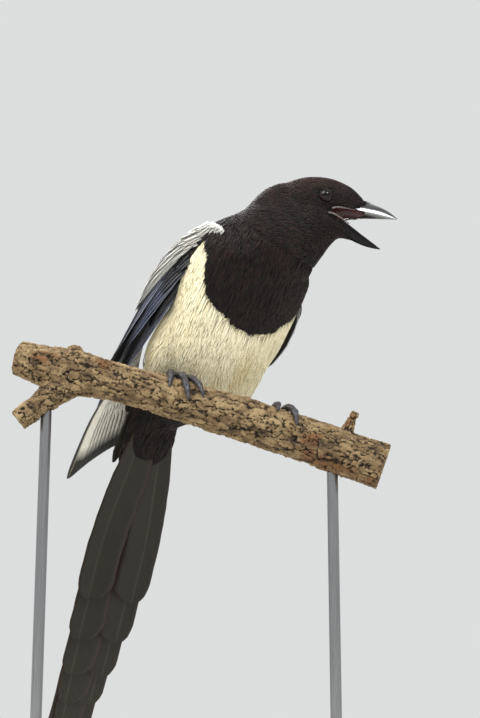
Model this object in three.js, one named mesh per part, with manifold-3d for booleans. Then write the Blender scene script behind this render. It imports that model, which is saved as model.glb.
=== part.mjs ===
// A life-size Eurasian magpie calling from a cut branch, which a plain display stand holds up.
// Millimetres, +Z up. The origin is the middle of the base's underside.
// The bird has three frames of its own: body, head and tail. In each, x points towards the bill,
// y to the bird's left and z to its back or crown.

import * as THREE from "three";
import { mergeVertices } from "three/addons/utils/BufferGeometryUtils.js";
import Module from "manifold-3d";

const wasm = await Module();
wasm.setup();

// Where the frames sit, in degrees: yaw turns the bill towards -Y, pitch lifts it
const GAP = 0.3;
const BODY = { at: [16, 22, 292], yaw: 55, pitch: 52, roll: 0 };
const HEAD = { at: [84, -20, 351.5], yaw: 10, pitch: -9, roll: -8 };
const TAIL = { at: [-31, 64, 238], yaw: 52.5, pitch: 63, roll: -6 };

// Body: stations from the tail root to the chest, each half as wide as `wide`, `high` above and
// `low` below the body's axis
const TRUNK = [
  { x: -90, y: -11, z: 8, wide: 9, high: 6, low: 9 },
  { x: -72, y: -6, z: 4, wide: 19, high: 13, low: 18 },
  { x: -46, y: 1, z: -4, wide: 33, high: 28, low: 26 },
  { x: -14, y: 0, z: -9, wide: 42, high: 38, low: 29 },
  { x: 16, y: 0, z: -10, wide: 43, high: 38, low: 31 },
  { x: 42, y: 2, z: -8, wide: 41, high: 31, low: 35 },
  { x: 62, y: 5, z: -10, wide: 27, high: 18, low: 26 },
];
const TRUNK_RINGS = 13;
const TRUNK_SIDES = 24;
// Flank feathers on either side, which hide the legs; each side stands `y` off a line `FLANK_SHIFT` off
const FLANK = [
  { x: 6, y: 24, z: -4, wide: 10, high: 13, low: 13 },
  { x: -16, y: 30, z: -3, wide: 12, high: 17, low: 14 },
  { x: -38, y: 33.5, z: -2, wide: 12, high: 16, low: 13 },
  { x: -54, y: 32, z: -2, wide: 8, high: 10, low: 8 },
];
const FLANK_SHIFT = -2;
const NECK = [
  { share: 0, wide: 37, high: 26, low: 35 },
  { share: 0.3, wide: 36, high: 27, low: 34 },
  { share: 0.58, wide: 28, high: 28, low: 30 },
  { share: 0.84, wide: 17, high: 24, low: 22 },
  { share: 1, wide: 9, high: 14, low: 11 },
];
const NECK_ROOT = [28, 0, -4];
const NECK_BEND = [66, 10, -8];
const CHIN = [6, 0, -13];
const NECK_CUT = { x: 43, lean: 0.12 };
const HEAD_CUT = { x: -17, lean: 0.35 };

// Head: stations in the head's frame, whose origin is midway between the eyes
const SKULL = [
  { x: -31, z: -3, wide: 8, high: 8, low: 9 },
  { x: -26, z: -2, wide: 13.5, high: 13, low: 14 },
  { x: -14, z: 0, wide: 16.2, high: 15.4, low: 16 },
  { x: -3, z: 0, wide: 15.2, high: 16, low: 14 },
  { x: 8, z: -1, wide: 12, high: 13.6, low: 8.5 },
  { x: 16, z: -3, wide: 8.6, high: 10.2, low: 4.5 },
  { x: 24, z: -4.5, wide: 5.2, high: 6.2, low: 1.4 },
];
const GAPE_DEGREES = 29;
const JAW_HINGE = [-4, 0, -7];
const JAW = [
  { x: -8, z: -12, wide: 13, high: 6, low: 9 },
  { x: 4, z: -10.5, wide: 11.6, high: 3.6, low: 7.6 },
  { x: 14, z: -9.6, wide: 8, high: 2.4, low: 5.4 },
  { x: 25, z: -9.4, wide: 3.6, high: 1.4, low: 2.6 },
];
const EYE = { x: -1, y: 11.8, z: -1.6, radius: 4.6, lid: 0.75 };
const BRISTLES = { count: 5, length: 15, width: 3.4 };

// Bill, from its root to its tip, in the head's frame for the upper half and the jaw's for the lower
const UPPER_BILL = { root: 9, tip: 44.5, wide: 7.4, high: 8.6, droop: 1.2, floor: -6.3 };
const LOWER_BILL = { root: 11, tip: 42.6, wide: 6.8, high: 5.6, floor: -6.8 };
const TONGUE = { root: 11, tip: 31, wide: 3, high: 1.3 };

// Flight feathers
const VANE = 0.5;
const LAYER = 0.82;
const TAIL_LENGTH = 246;
const TAIL_PAIRS = 6;
const TAIL_WIDTH = 24;

// Each wing is a folded sheet between its lower and upper edge, wrist to tip, in the body's frame
const RIGHT_WING = {
  side: -1,
  lower: [[45, -34, -9], [8, -48, -7], [-37, -60, -2], [-86, -73, 6], [-142, -73, 13]],
  upper: [[44, -12, 20], [10, -30, 26], [-38, -38, 25], [-86, -38, 23], [-136, -41, 21]],
};
const LEFT_WING = {
  side: 1,
  lower: [[44, 33, -8], [8, 51, -9], [-36, 49, -2], [-86, 22, 18], [-136, 1, 25]],
  upper: [[44, 12, 21], [8, 27, 27], [-38, 22, 32], [-88, 1, 34], [-136, -10, 31]],
};
const WING_BULGE = 5;
const WING_LAYER = 0.95;
const PRIMARIES = 6;
const SECONDARIES = 4;
const COVERT_ROWS = [
  { from: 0.15, to: 0.48, low: 0.16, high: 0.92, rise: 1.6, count: 5 },
  { from: 0.02, to: 0.3, low: 0.16, high: 0.92, rise: 3.4, count: 5 },
];
const SCAPULAR_ROWS = [
  { from: 0.13, to: 0.4, low: 0.62, high: 1.02, rise: 0, count: 3 },
  { from: -0.03, to: 0.24, low: 0.6, high: 1.04, rise: 1.6, count: 3 },
];

// Legs: ankles and feet in the part's frame
const LEGS = {
  right: { knee: [-14, -22, -12], ankle: [-38, 41, 243.5], foot: -20, set: -0.5 },
  left: { knee: [-14, 20, -18], ankle: [24, 47, 227], foot: 46, set: -0.75 },
};
const TARSUS = 2.5;
const TOES = [
  { spread: -8, length: 19, radius: 1.9, skew: 0.25 },
  { spread: 0, length: 25, radius: 2.1, skew: 0.62 },
  { spread: 8, length: 20, radius: 1.9, skew: 0.95 },
  { spread: 0, length: -15, radius: 2.2, skew: 0.62 },
];
const CLAW = 9;

// Perch: the branch's middle line and radius, its side limb and its snag
const BRANCH = [
  { at: [-117, 3, 254], radius: 11.2 },
  { at: [-84, 1, 245], radius: 14.5 },
  { at: [-49, 0, 236.5], radius: 12.6 },
  { at: [-12, 0, 226], radius: 13.2 },
  { at: [26, 0, 214.3], radius: 14 },
  { at: [68, -1, 199.5], radius: 14.3 },
  { at: [116, -2, 182], radius: 14.8 },
];
const SIDE_LIMB = [
  { at: [-70, 0, 243], radius: 10 },
  { at: [-88, -2, 233], radius: 9.4 },
  { at: [-114, -4, 212], radius: 7 },
];
const KNOB = { at: [-80, 0, 256], radius: 6.5 };
const SNAG = [
  { at: [90, -3, 198], radius: 4.6 },
  { at: [95, -4, 209], radius: 3.6 },
  { at: [99, -4.5, 217], radius: 2.4 },
];
const BARK = 0.055;

// Stand
const BASE = { length: 240, width: 130, height: 12, corner: 16 };
const ROD = { radius: 3.5, sunk: 7 };
const RODS = { left: { x: -97, top: 226 }, right: { x: 84, top: 190 } };

const v3 = (x = 0, y = 0, z = 0) => new THREE.Vector3(x, y, z);
const { clamp, lerp, degToRad, smoothstep } = THREE.MathUtils;

// Solids

/** The solid of a closed mesh given as points and triangles, turned to face out. */
function solid(points, faces) {
  let volume = 0;
  for (const [a, b, c] of faces) volume += points[a].dot(v3().crossVectors(points[b], points[c]));
  const turned = volume < 0 ? faces.map(([a, b, c]) => [a, c, b]) : faces;
  return new wasm.Manifold(
    new wasm.Mesh({
      numProp: 3,
      vertProperties: new Float32Array(points.flatMap((p) => p.toArray())),
      triVerts: new Uint32Array(turned.flat()),
    }),
  );
}

/** The solid of a closed three.js geometry. */
function solidOf(geometry) {
  const bare = geometry.clone();
  for (const name of Object.keys(bare.attributes)) if (name !== "position") bare.deleteAttribute(name);
  const merged = mergeVertices(bare, 1e-4);
  return new wasm.Manifold(
    new wasm.Mesh({
      numProp: 3,
      vertProperties: merged.attributes.position.array,
      triVerts: new Uint32Array(merged.index.array),
    }),
  );
}

const join = (pieces) => pieces.reduce((all, piece) => all.add(piece));
const placed = (piece, frame) => piece.transform(frame.matrixWorld.elements);

/** The largest closed surface of a solid, without the scraps a cut leaves. */
function largest(piece) {
  const parts = piece.decompose();
  return parts.reduce((best, part) => (part.volume() > best.volume() ? part : best));
}

/** A ring of points round a middle: a superellipse, `high` above it and `low` below. */
function ring(at, side, up, { wide, high, low }, sides, power = 2.15) {
  return Array.from({ length: sides }, (_, k) => {
    const turn = (2 * Math.PI * k) / sides;
    const across = Math.sign(Math.cos(turn)) * Math.abs(Math.cos(turn)) ** (2 / power) * wide;
    const rise = Math.sign(Math.sin(turn)) * Math.abs(Math.sin(turn)) ** (2 / power);
    return at.clone().addScaledVector(side, across).addScaledVector(up, rise * (rise > 0 ? high : low));
  });
}

/** A closed solid through rings of points, each end closed round its middle. */
function loft(rings) {
  const sides = rings[0].length;
  const points = rings.flat();
  const faces = [];
  for (let i = 0; i + 1 < rings.length; i++)
    for (let k = 0; k < sides; k++) {
      const a = i * sides + k;
      const b = i * sides + ((k + 1) % sides);
      faces.push([a, b, b + sides], [a, b + sides, a + sides]);
    }
  for (const i of [0, rings.length - 1]) {
    const middle = rings[i].reduce((sum, p) => sum.add(p), v3()).divideScalar(sides);
    const m = points.push(middle) - 1;
    for (let k = 0; k < sides; k++) {
      const a = i * sides + k;
      const b = i * sides + ((k + 1) % sides);
      faces.push(i ? [a, b, m] : [b, a, m]);
    }
  }
  return solid(points, faces);
}

/** A rounded body along stations with a middle and three sizes, all grown by `grow`. */
function flesh(stations, { rings, sides, grow = 0, up = v3(0, 0, 1) }) {
  const path = new THREE.CatmullRomCurve3(stations.map((s) => s.at ?? v3(s.x, s.y ?? 0, s.z)));
  const sizes = new THREE.CatmullRomCurve3(stations.map((s) => v3(s.wide, s.high, s.low)));
  const made = [];
  for (let i = 0; i <= rings; i++) {
    const t = (1 - Math.cos((Math.PI * i) / rings)) / 2;
    const along = path.getTangent(t);
    const side = up.clone().cross(along).normalize();
    const size = sizes.getPoint(t).addScalar(grow);
    const at = path.getPoint(t).addScaledVector(along, i === 0 ? -grow : i === rings ? grow : 0);
    const [wide, high, low] = size.toArray();
    made.push(ring(at, side, along.clone().cross(side), { wide, high, low }, sides));
  }
  return loft(made);
}

/** A round tube through stations of middle and radius, with `rough` as its bark or scale relief. */
function tube(stations, { rings, sides, grow = 0, rough = 0, up = v3(0, 0, 1) }) {
  const path = new THREE.CatmullRomCurve3(stations.map((s) => v3(...s.at)));
  const sizes = new THREE.CatmullRomCurve3(stations.map((s) => v3(s.radius, 0, 0)));
  const made = [];
  for (let i = 0; i <= rings; i++) {
    const t = i / rings;
    const along = path.getTangent(t);
    const side = up.clone().cross(along).normalize();
    const over = along.clone().cross(side);
    const at = path.getPoint(t).addScaledVector(along, i === 0 ? -grow : i === rings ? grow : 0);
    made.push(
      Array.from({ length: sides }, (_, k) => {
        const turn = (2 * Math.PI * k) / sides;
        const relief = 1 + rough * barkRelief(turn, t);
        const radius = sizes.getPoint(t).x * relief + grow;
        return at
          .clone()
          .addScaledVector(side, Math.cos(turn) * radius)
          .addScaledVector(over, Math.sin(turn) * radius);
      }),
    );
  }
  return loft(made);
}

/** Bark plates as a share of the radius, from -1 to 1, at a turn round the limb and a place along it. */
function barkRelief(turn, t) {
  const ridges = 0.5 * Math.sin(3 * turn + 9 * t) + 0.35 * Math.sin(5 * turn - 31 * t);
  return ridges + 0.3 * Math.sin(47 * t + turn);
}

const LONG_VANE = [0, 0.14, 0.34, 0.58, 0.8, 0.93, 1];
const SHORT_VANE = [0, 0.38, 0.76, 0.93, 1];
const WING_STOPS = [0.35, 0.44, 0.53, 0.62, 0.74, 0.86];

/**
 * One feather: a thin plate over `surface(t, across)`, where t runs from its root to its tip and
 * `across` is the distance off its middle. The surface gives a point and the way the upper face looks.
 * The feather is widest past its root and rounds off at its tip.
 */
function vane(surface, width, options = {}) {
  const { steps = LONG_VANE, columns = [-1, 0, 1], root = 0.4, full = 0.3, tip = 0.14 } = options;
  const points = [];
  for (const t of steps) {
    const swell = root + (1 - root) * smoothstep(t, 0, full);
    const rounded = t > 1 - tip ? Math.sqrt(1 - 0.95 * ((t - 1 + tip) / tip) ** 2) : 1;
    const half = (width / 2) * swell * rounded;
    const deep = (VANE / 2) * (t === 1 ? 0.7 : 1);
    const row = columns.map((c) => surface(t, c * half));
    for (const face of [deep, -deep])
      for (const { at, up } of row) points.push(at.clone().addScaledVector(up, face));
  }
  const faces = [];
  const n = columns.length;
  const at = (i, face, k) => (i * 2 + face) * n + k;
  const last = steps.length - 1;
  for (let i = 0; i < last; i++) {
    for (let k = 0; k + 1 < n; k++)
      for (const face of [0, 1]) {
        const [a, b] = [at(i, face, k), at(i + 1, face, k)];
        const [c, d] = [b + 1, a + 1];
        faces.push(face ? [a, c, b] : [a, b, c], face ? [a, d, c] : [a, c, d]);
      }
    for (const k of [0, n - 1]) {
      const [a, b, c, d] = [at(i, 0, k), at(i, 1, k), at(i + 1, 1, k), at(i + 1, 0, k)];
      faces.push(k ? [a, d, c] : [a, b, c], k ? [a, c, b] : [a, c, d]);
    }
  }
  for (const i of [0, last])
    for (let k = 0; k + 1 < n; k++) {
      const [a, b, c, d] = [at(i, 0, k), at(i, 0, k + 1), at(i, 1, k + 1), at(i, 1, k)];
      faces.push(i ? [a, d, c] : [a, b, c], i ? [a, c, b] : [a, c, d]);
    }
  return solid(points, faces);
}

// Frames and nodes

const magpie = new THREE.Group();

/** A group set at a place in the part's frame and turned, which holds one region of the bird. */
function frame({ at, yaw, pitch, roll }) {
  const group = new THREE.Group();
  group.position.set(...at);
  group.rotation.set(degToRad(roll), degToRad(-pitch), degToRad(-yaw), "ZYX");
  magpie.add(group);
  group.updateMatrixWorld(true);
  return group;
}

const body = frame(BODY);
const head = frame(HEAD);
const tail = frame(TAIL);

const finish = (color, roughness, metalness = 0) =>
  new THREE.MeshStandardMaterial({ color, roughness, metalness });
const BLACK_FEATHER = finish(0x16131a, 0.55);
const WHITE_FEATHER = finish(0xece4cf, 0.8);
const BLUE_FEATHER = finish(0x1c2a4a, 0.35);
const TAIL_FEATHER = finish(0x1d2420, 0.4);
const BILL = finish(0x1a191d, 0.3);
const MOUTH = finish(0x5a1412, 0.45);
const EYEBALL = finish(0x0c0a0a, 0.08);
const SCALES = finish(0x1f1f22, 0.5);
const WOOD = finish(0x8a7152, 0.85);
const STAND = finish(0x26221f, 0.45);
const STEEL = finish(0x9a9a9c, 0.3, 1);

/** Hangs a solid, worked out in the part's frame, in its group as a named node. */
function node(name, piece, material, group = magpie) {
  const home = group.matrixWorld.clone().invert();
  const mesh = largest(piece).transform(home.elements).getMesh();
  const geometry = new THREE.BufferGeometry();
  geometry.setAttribute("position", new THREE.BufferAttribute(mesh.vertProperties, 3));
  geometry.setIndex(new THREE.BufferAttribute(mesh.triVerts, 1));
  geometry.computeVertexNormals();
  const made = new THREE.Mesh(geometry, material);
  made.name = name;
  group.add(made);
}

// Flesh

const flank = (side, grow) => {
  const stations = FLANK.map((s) => ({ ...s, y: side * s.y + FLANK_SHIFT }));
  return placed(flesh(stations, { rings: 7, sides: 12, grow }), body);
};
const trunk = (grow = 0) => {
  const barrel = flesh(TRUNK, { rings: TRUNK_RINGS, sides: TRUNK_SIDES, grow });
  return join([placed(barrel, body), flank(1, grow), flank(-1, grow)]);
};

/** The neck, which bends from the body's axis to the head's. */
function neck(grow = 0) {
  const toWorld = (p, group) => v3(...p).applyMatrix4(group.matrixWorld);
  const ends = [toWorld(NECK_ROOT, body), toWorld(NECK_BEND, body), toWorld(CHIN, head)];
  const path = new THREE.QuadraticBezierCurve3(...ends);
  const stations = NECK.map(({ share, ...sizes }) => ({ at: path.getPoint(share), ...sizes }));
  const [back, crown] = [body, head].map((group) => v3(0, 0, 1).transformDirection(group.matrixWorld));
  return flesh(stations, { rings: 9, sides: 20, grow, up: back.lerp(crown, 0.5).normalize() });
}

/** Turns a piece made along the closed jaw down by the gape. */
function opened(piece) {
  const [x, y, z] = JAW_HINGE;
  return piece.translate([-x, -y, -z]).rotate([0, GAPE_DEGREES, 0]).translate([x, y, z]);
}

const skull = () => placed(flesh(SKULL, { rings: 11, sides: 18 }), head);
const jaw = () => placed(opened(flesh(JAW, { rings: 6, sides: 14 })), head);
const eyeball = (side, radius, sections = 14) =>
  placed(
    solidOf(new THREE.SphereGeometry(radius, sections, 8)).translate([EYE.x, side * EYE.y, EYE.z]),
    head,
  );

/** A raised ring of skin round an eye, set on the skull's surface. */
function lid(side) {
  const torus = new THREE.TorusGeometry(EYE.radius * 0.93, EYE.lid, 5, 12);
  torus.rotateX(Math.PI / 2);
  torus.translate(EYE.x, side * (EYE.y + 2.2), EYE.z);
  return placed(solidOf(torus), head);
}

/** Half of the bill: rings from its root to its tip, with a hollow on the side that faces the mouth. */
function billHalf({ root, tip, wide, high, droop = 0, floor }, { flip = 1, grow = 0, hollow = 0.42 }) {
  const rings = [0, 0.12, 0.28, 0.46, 0.62, 0.77, 0.89, 0.97, 1].map((t, i, all) => {
    const x = lerp(root, tip, t) + (i === 0 ? -grow : i === all.length - 1 ? grow : 0);
    const taper = (1 - 0.95 * t ** 1.5) * (1 - 0.3 * t * (1 - t));
    const half = wide * taper + grow;
    const tall = high * (1 - 0.95 * t ** 3.2) + grow;
    const z = floor - droop * t ** 3;
    const groove = grow ? -grow : hollow * tall * (1 - t);
    const outline = [
      [-1, -grow],
      ...[-0.92, -0.55, 0, 0.55, 0.92].map((y) => [y, (1 - 0.7 * y * y) * tall]),
      [1, -grow],
      [0.72, -grow * 0.9],
      [0, groove],
      [-0.72, -grow * 0.9],
    ];
    return outline.map(([y, h]) => v3(x, y * half, z + flip * h));
  });
  return loft(rings);
}
const upperBill = (grow = 0) => placed(billHalf(UPPER_BILL, { grow }), head);
const lowerBill = (grow = 0) => placed(opened(billHalf(LOWER_BILL, { flip: -1, grow })), head);

function tongue() {
  const { root, tip, wide, high } = TONGUE;
  const rings = [0, 0.25, 0.55, 0.82, 1].map((t) => {
    const tall = high * (1 - 0.6 * t);
    const sizes = { wide: wide * (1 - 0.85 * t ** 2), high: tall, low: tall };
    return ring(v3(lerp(root, tip, t), 0, -5.6 - 0.8 * t), v3(0, 1, 0), v3(0, 0, 1), sizes, 10);
  });
  return placed(opened(loft(rings)), head);
}

/** The space between the two halves of the bill, which the open mouth leaves in the head. */
function mouth() {
  const [hx, , hz] = JAW_HINGE;
  const slope = Math.tan(degToRad(GAPE_DEGREES));
  const top = UPPER_BILL.floor + 0.2;
  const rings = [4, 10, 60].map((x, i) => {
    const bottom = hz + 0.4 - slope * (x - hx);
    const [roof, sole] = i ? [top, bottom] : [bottom + 2.4, bottom + 1.6];
    return [v3(x, -14, roof), v3(x, 14, roof), v3(x, 14, sole), v3(x, -14, sole)];
  });
  return placed(loft(rings), head);
}

/** Stiff bristles that lie forward over the root of the upper bill. */
function bristles() {
  const { root, tip, wide, high, droop, floor } = UPPER_BILL;
  const hug = (x, turn) => {
    const t = clamp((x - root) / (tip - root), 0, 1);
    const half = wide * (1 - 0.95 * t ** 1.5) + 1;
    const tall = high * (1 - 0.95 * t ** 3.2) + 1;
    return v3(x, Math.sin(turn) * half, floor - droop * t ** 3 + tall * Math.cos(turn));
  };
  return Array.from({ length: BRISTLES.count }, (_, i) => {
    const turn = lerp(-1.2, 1.2, i / (BRISTLES.count - 1));
    const start = 13 + 1.5 * Math.abs(turn);
    const length = BRISTLES.length * (1 - 0.25 * Math.abs(turn));
    const surface = (t, across) => ({
      at: hug(start + length * t, turn + across / 7).applyMatrix4(head.matrixWorld),
      up: v3(0, Math.sin(turn), Math.cos(turn)).transformDirection(head.matrixWorld),
    });
    const shape = { steps: SHORT_VANE, columns: [-1, 1], root: 0.9, full: 0.1, tip: 0.8 };
    return vane(surface, BRISTLES.width, shape);
  });
}

// Wings

/** The folded wing as a sheet: u runs from wrist to tip, v from its lower to its upper edge. */
function wingSheet({ side, lower, upper }) {
  const low = new THREE.CatmullRomCurve3(lower.map((p) => v3(...p)));
  const high = new THREE.CatmullRomCurve3(upper.map((p) => v3(...p)));
  const spot = (u, v) => {
    const end = clamp(u, 0, 1);
    const a = low.getPoint(end);
    const chord = high.getPoint(end).sub(a);
    const out = low.getTangent(end).cross(chord).normalize().multiplyScalar(side);
    const bulge = WING_BULGE * 4 * v * (1 - v) * (1 - 0.8 * end);
    a.addScaledVector(low.getTangent(end), (u - end) * 190);
    return a.addScaledVector(chord, v).addScaledVector(out, bulge);
  };
  return {
    chord: (u) => low.getPoint(clamp(u, 0, 1)).distanceTo(high.getPoint(clamp(u, 0, 1))),
    /** The point `lift` off the sheet's outer face, and the way that face looks there. */
    place(u, v, lift = 0) {
      const e = 1e-3;
      const up = spot(u + e, v).sub(spot(u - e, v)).cross(spot(u, v + e).sub(spot(u, v - e)));
      up.normalize().multiplyScalar(side);
      return {
        at: spot(u, v).addScaledVector(up, lift).applyMatrix4(body.matrixWorld),
        up: up.transformDirection(body.matrixWorld),
      };
    },
  };
}

/** A feather on the sheet from one (u, v, lift) to another, its lower edge raised by `shingle`. */
function laid(sheet, from, to, width, { shingle = 0, ...options } = {}) {
  const surface = (t, across) => {
    const [u, v, lift] = from.map((start, i) => lerp(start, to[i], t));
    return sheet.place(u, v + across / sheet.chord(u), lift - (2 * shingle * across) / width);
  };
  return vane(surface, width, options);
}

/** How far off the sheet the arm's outer face stands at v. */
const armFace = (v) => lerp(-2.2, 3.4, v);

/** The arm under the coverts: full at the wrist and thin behind, where the flight feathers leave it. */
function arm(sheet) {
  const rings = [
    { u: -0.02, v: [0.3, 0.45, 0.6, 0.72], out: -2.5, deep: 4 },
    { u: 0.02, v: [0.14, 0.4, 0.68, 0.9], out: -0.4, deep: 8 },
    { u: 0.12, v: [0.06, 0.36, 0.68, 0.97], out: 0, deep: 9.4 },
    { u: 0.29, v: [0.04, 0.35, 0.66, 0.95], out: 0, deep: 9.8 },
    { u: 0.36, v: [0.07, 0.35, 0.64, 0.9], out: -1, deep: 8 },
    { u: 0.42, v: [0.1, 0.36, 0.62, 0.86], out: -3, deep: 4 },
  ].map(({ u, v, out, deep }) => [
    ...v.map((w) => sheet.place(u, w, armFace(w) + out).at),
    ...v
      .map((w) => sheet.place(u, w, Math.min(armFace(w) + out - 1.6, -deep * (1 - 0.4 * w))).at)
      .reverse(),
  ]);
  return loft(rings);
}

function wing(spec) {
  const sheet = wingSheet(spec);
  const pieces = [arm(sheet)];
  const lowest = armFace(0.9) - 1.6 - (PRIMARIES + SECONDARIES - 1) * WING_LAYER;
  const flight = (layer, [u, v], [reach, tipV], width) => {
    const inside = WING_STOPS.filter((stop) => stop > u + 0.03 && stop < reach - 0.05);
    const steps = [0, ...inside.map((stop) => (stop - u) / (reach - u)), 1 - 0.03 / (reach - u), 1];
    const lift = lowest + WING_LAYER * layer;
    pieces.push(laid(sheet, [u, v, lift], [reach, tipV, lift], width, { steps, tip: 0.12 }));
  };
  for (let i = 0; i < PRIMARIES; i++)
    flight(i, [0.27, 0.15 + 0.07 * i], [1 - 0.01 * (i - 1.5) ** 2, 0.2 + 0.11 * i], 15 + 0.3 * i);
  for (let i = 0; i < SECONDARIES; i++)
    flight(PRIMARIES + i, [0.27, 0.52 + 0.11 * i], [0.8 - 0.05 * i, 0.52 + 0.12 * i], 18);
  for (const { from, to, low, high, rise, count } of COVERT_ROWS)
    for (let i = 0; i < count; i++) {
      const v = lerp(low, high, i / (count - 1));
      const wide = ((high - low) / (count - 1)) * sheet.chord(to) * 1.6;
      const end = to + 0.015 * Math.sin(5 * i) + 0.04 * v;
      const options = { steps: SHORT_VANE, columns: [-1, 1], shingle: 0.55, tip: 0.3 };
      const start = [from, v, armFace(v) - 0.5];
      pieces.push(laid(sheet, start, [end, v + 0.02, armFace(v) + rise], wide, options));
    }
  return join(pieces);
}

/** White feathers that lie from the shoulder over the wing's upper edge. */
function scapulars(spec) {
  const sheet = wingSheet(spec);
  const strap = [-0.03, 0.08, 0.18, 0.26].map((u) => {
    const v = [0.56, 0.82, 1.08];
    const face = (lift) => v.map((w) => sheet.place(u, w, armFace(w) + lift).at);
    return [...face(6.2), ...face(4.6).reverse()];
  });
  const pieces = [loft(strap)];
  for (const { from, to, low, high, rise, count } of SCAPULAR_ROWS)
    for (let i = 0; i < count; i++) {
      const v = lerp(low, high, i / (count - 1));
      const options = { steps: SHORT_VANE, columns: [-1, 1], shingle: 0.5, root: 0.6, tip: 0.34 };
      const lift = armFace(v) + 5.4;
      pieces.push(laid(sheet, [from, v, lift], [to, v - 0.04, lift + 0.4 + rise], 12, options));
    }
  return join(pieces);
}

// Tail

const TAIL_ROOT = [
  { x: 8, z: -3, wide: 16, high: 10, low: 13 },
  { x: -6, z: -4, wide: 18, high: 8.5, low: 9.5 },
  { x: -20, z: -4.6, wide: 19.5, high: 7.4, low: 7.5 },
  { x: -34, z: -4.8, wide: 18, high: 5.6, low: 5.6 },
  { x: -46, z: -4.8, wide: 13, high: 2.4, low: 2.4 },
];

/** The point on the tail `t` of the way down a feather this long, y off the middle and z off its top. */
const onTail = (length, t, y, z) => v3(-length * t, y, z - 5 * t * t).applyMatrix4(tail.matrixWorld);

/** One tail feather. Pair 0 is the long middle one and lies on top. */
function tailFeather(pair, side) {
  const length = TAIL_LENGTH * (1 - 0.04 * pair - 0.0095 * pair * pair);
  const width = TAIL_WIDTH + 0.3 * pair;
  const layer = -LAYER * (2 * pair + (side > 0 ? 0 : 1));
  const up = v3(0, 0, 1).transformDirection(tail.matrixWorld);
  const surface = (t, across) => {
    const down = (length * t) / TAIL_LENGTH;
    const middle = lerp(1.6 + 1.2 * pair, 5 + 2.4 * pair, smoothstep(down, 0, 0.45));
    const camber = 0.35 * (1 - (2 * across / width) ** 2);
    return { at: onTail(length, t, side * middle + across, layer + camber), up };
  };
  return vane(surface, width, { root: 0.46, full: 0.42, tip: (0.55 * width) / length });
}

/** Small feathers over and under the roots of the tail. */
function tailCoverts() {
  return [1, -1].flatMap((face) =>
    Array.from({ length: 4 }, (_, i) => {
      const y = lerp(-11, 11, i / 3);
      const top = face > 0 ? 3.2 : -12;
      const up = v3(0, 0, face).transformDirection(tail.matrixWorld);
      const length = face > 0 ? 46 : 44;
      const surface = (t, across) => {
        const rise = face * (lerp(-1.4, 1.2, t) - 0.003 * y * y + 0.13 * across);
        return { at: onTail(length, t, y * (1 + 0.35 * t) + across, top + rise), up };
      };
      return vane(surface, 12, { steps: SHORT_VANE, columns: [-1, 1], root: 0.6, tip: 0.4 });
    }),
  );
}

function wholeTail() {
  const pieces = [placed(flesh(TAIL_ROOT, { rings: 6, sides: 16 }), tail), ...tailCoverts()];
  for (let pair = 0; pair < TAIL_PAIRS; pair++) pieces.push(tailFeather(pair, 1), tailFeather(pair, -1));
  return join(pieces);
}

// Perch and feet

const branchLine = new THREE.CatmullRomCurve3(BRANCH.map((s) => v3(...s.at)));
const branchSize = new THREE.CatmullRomCurve3(BRANCH.map((s) => v3(s.radius, 0, 0)));
const branchShare = (x) => {
  let [low, high] = [0, 1];
  for (let i = 0; i < 30; i++) {
    const mid = (low + high) / 2;
    if (branchLine.getPoint(mid).x < x) low = mid;
    else high = mid;
  }
  return low;
};

const branch = (grow = 0) => tube(BRANCH, { rings: 22, sides: 14, grow, rough: BARK });
const rod = ({ x, top }, grow = 0) => {
  const height = top - BASE.height + ROD.sunk + 2 * grow;
  const made = new THREE.CylinderGeometry(ROD.radius + grow, ROD.radius + grow, height, 18);
  made.rotateX(Math.PI / 2);
  made.translate(x, 0, BASE.height - ROD.sunk - grow + height / 2);
  return solidOf(made);
};

function perch() {
  const knob = new THREE.IcosahedronGeometry(KNOB.radius, 1);
  knob.translate(...KNOB.at);
  const whole = join([
    branch(),
    tube(SIDE_LIMB, { rings: 7, sides: 10, rough: BARK }),
    solidOf(knob),
    tube(SNAG, { rings: 4, sides: 8, rough: BARK, up: v3(0, 1, 0) }),
  ]);
  return Object.values(RODS).reduce((wood, spec) => wood.subtract(rod(spec, GAP)), whole);
}

/** A point on the branch's bark: x picks the place along it, turn runs from its top to its near side. */
function onBranch(x, turn, lift) {
  const t = branchShare(x);
  const at = branchLine.getPoint(t);
  const along = branchLine.getTangent(t);
  const side = v3(0, 0, 1).cross(along).normalize();
  const over = along.clone().cross(side);
  const angle = Math.PI / 2 + turn;
  const radius = branchSize.getPoint(t).x * (1 + BARK * barkRelief(angle, t)) + lift;
  return at.addScaledVector(side, Math.cos(angle) * radius).addScaledVector(over, Math.sin(angle) * radius);
}

/** One toe laid round the branch from the ball of the foot, with its claw. */
function toe({ foot: footX, set }, { spread, length, radius, skew }) {
  const bark = branchSize.getPoint(branchShare(footX)).x;
  const line = (s) => {
    const turn = set + (s * (length > 0 ? 1 : -1)) / (bark + radius);
    return { x: footX + spread * 0.5 + skew * s * Math.sign(length) * 0.7, turn };
  };
  const reach = Math.abs(length);
  const knuckle = (s) => 0.25 * Math.cos((2 * Math.PI * s * 3) / reach);
  const stations = [0, 0.2, 0.4, 0.6, 0.8, 1].map((t) => {
    const { x, turn } = line(t * reach);
    const size = radius * (1 - 0.28 * t) + knuckle(t * reach);
    return { at: onBranch(x, turn, size + GAP + 0.25).toArray(), radius: size };
  });
  const claw = [-0.05, 0.3, 0.65, 1].map((t) => {
    const { x, turn } = line(reach + t * CLAW * 0.85);
    const size = radius * (0.72 - 0.6 * t);
    return { at: onBranch(x, turn, size + GAP + 0.2 + 2.6 * t * (1 - t)).toArray(), radius: size };
  });
  return join([
    tube(stations, { rings: 6, sides: 6, up: v3(1, 0, 0.3) }),
    tube(claw, { rings: 3, sides: 5, up: v3(1, 0, 0.3) }),
  ]);
}

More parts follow.
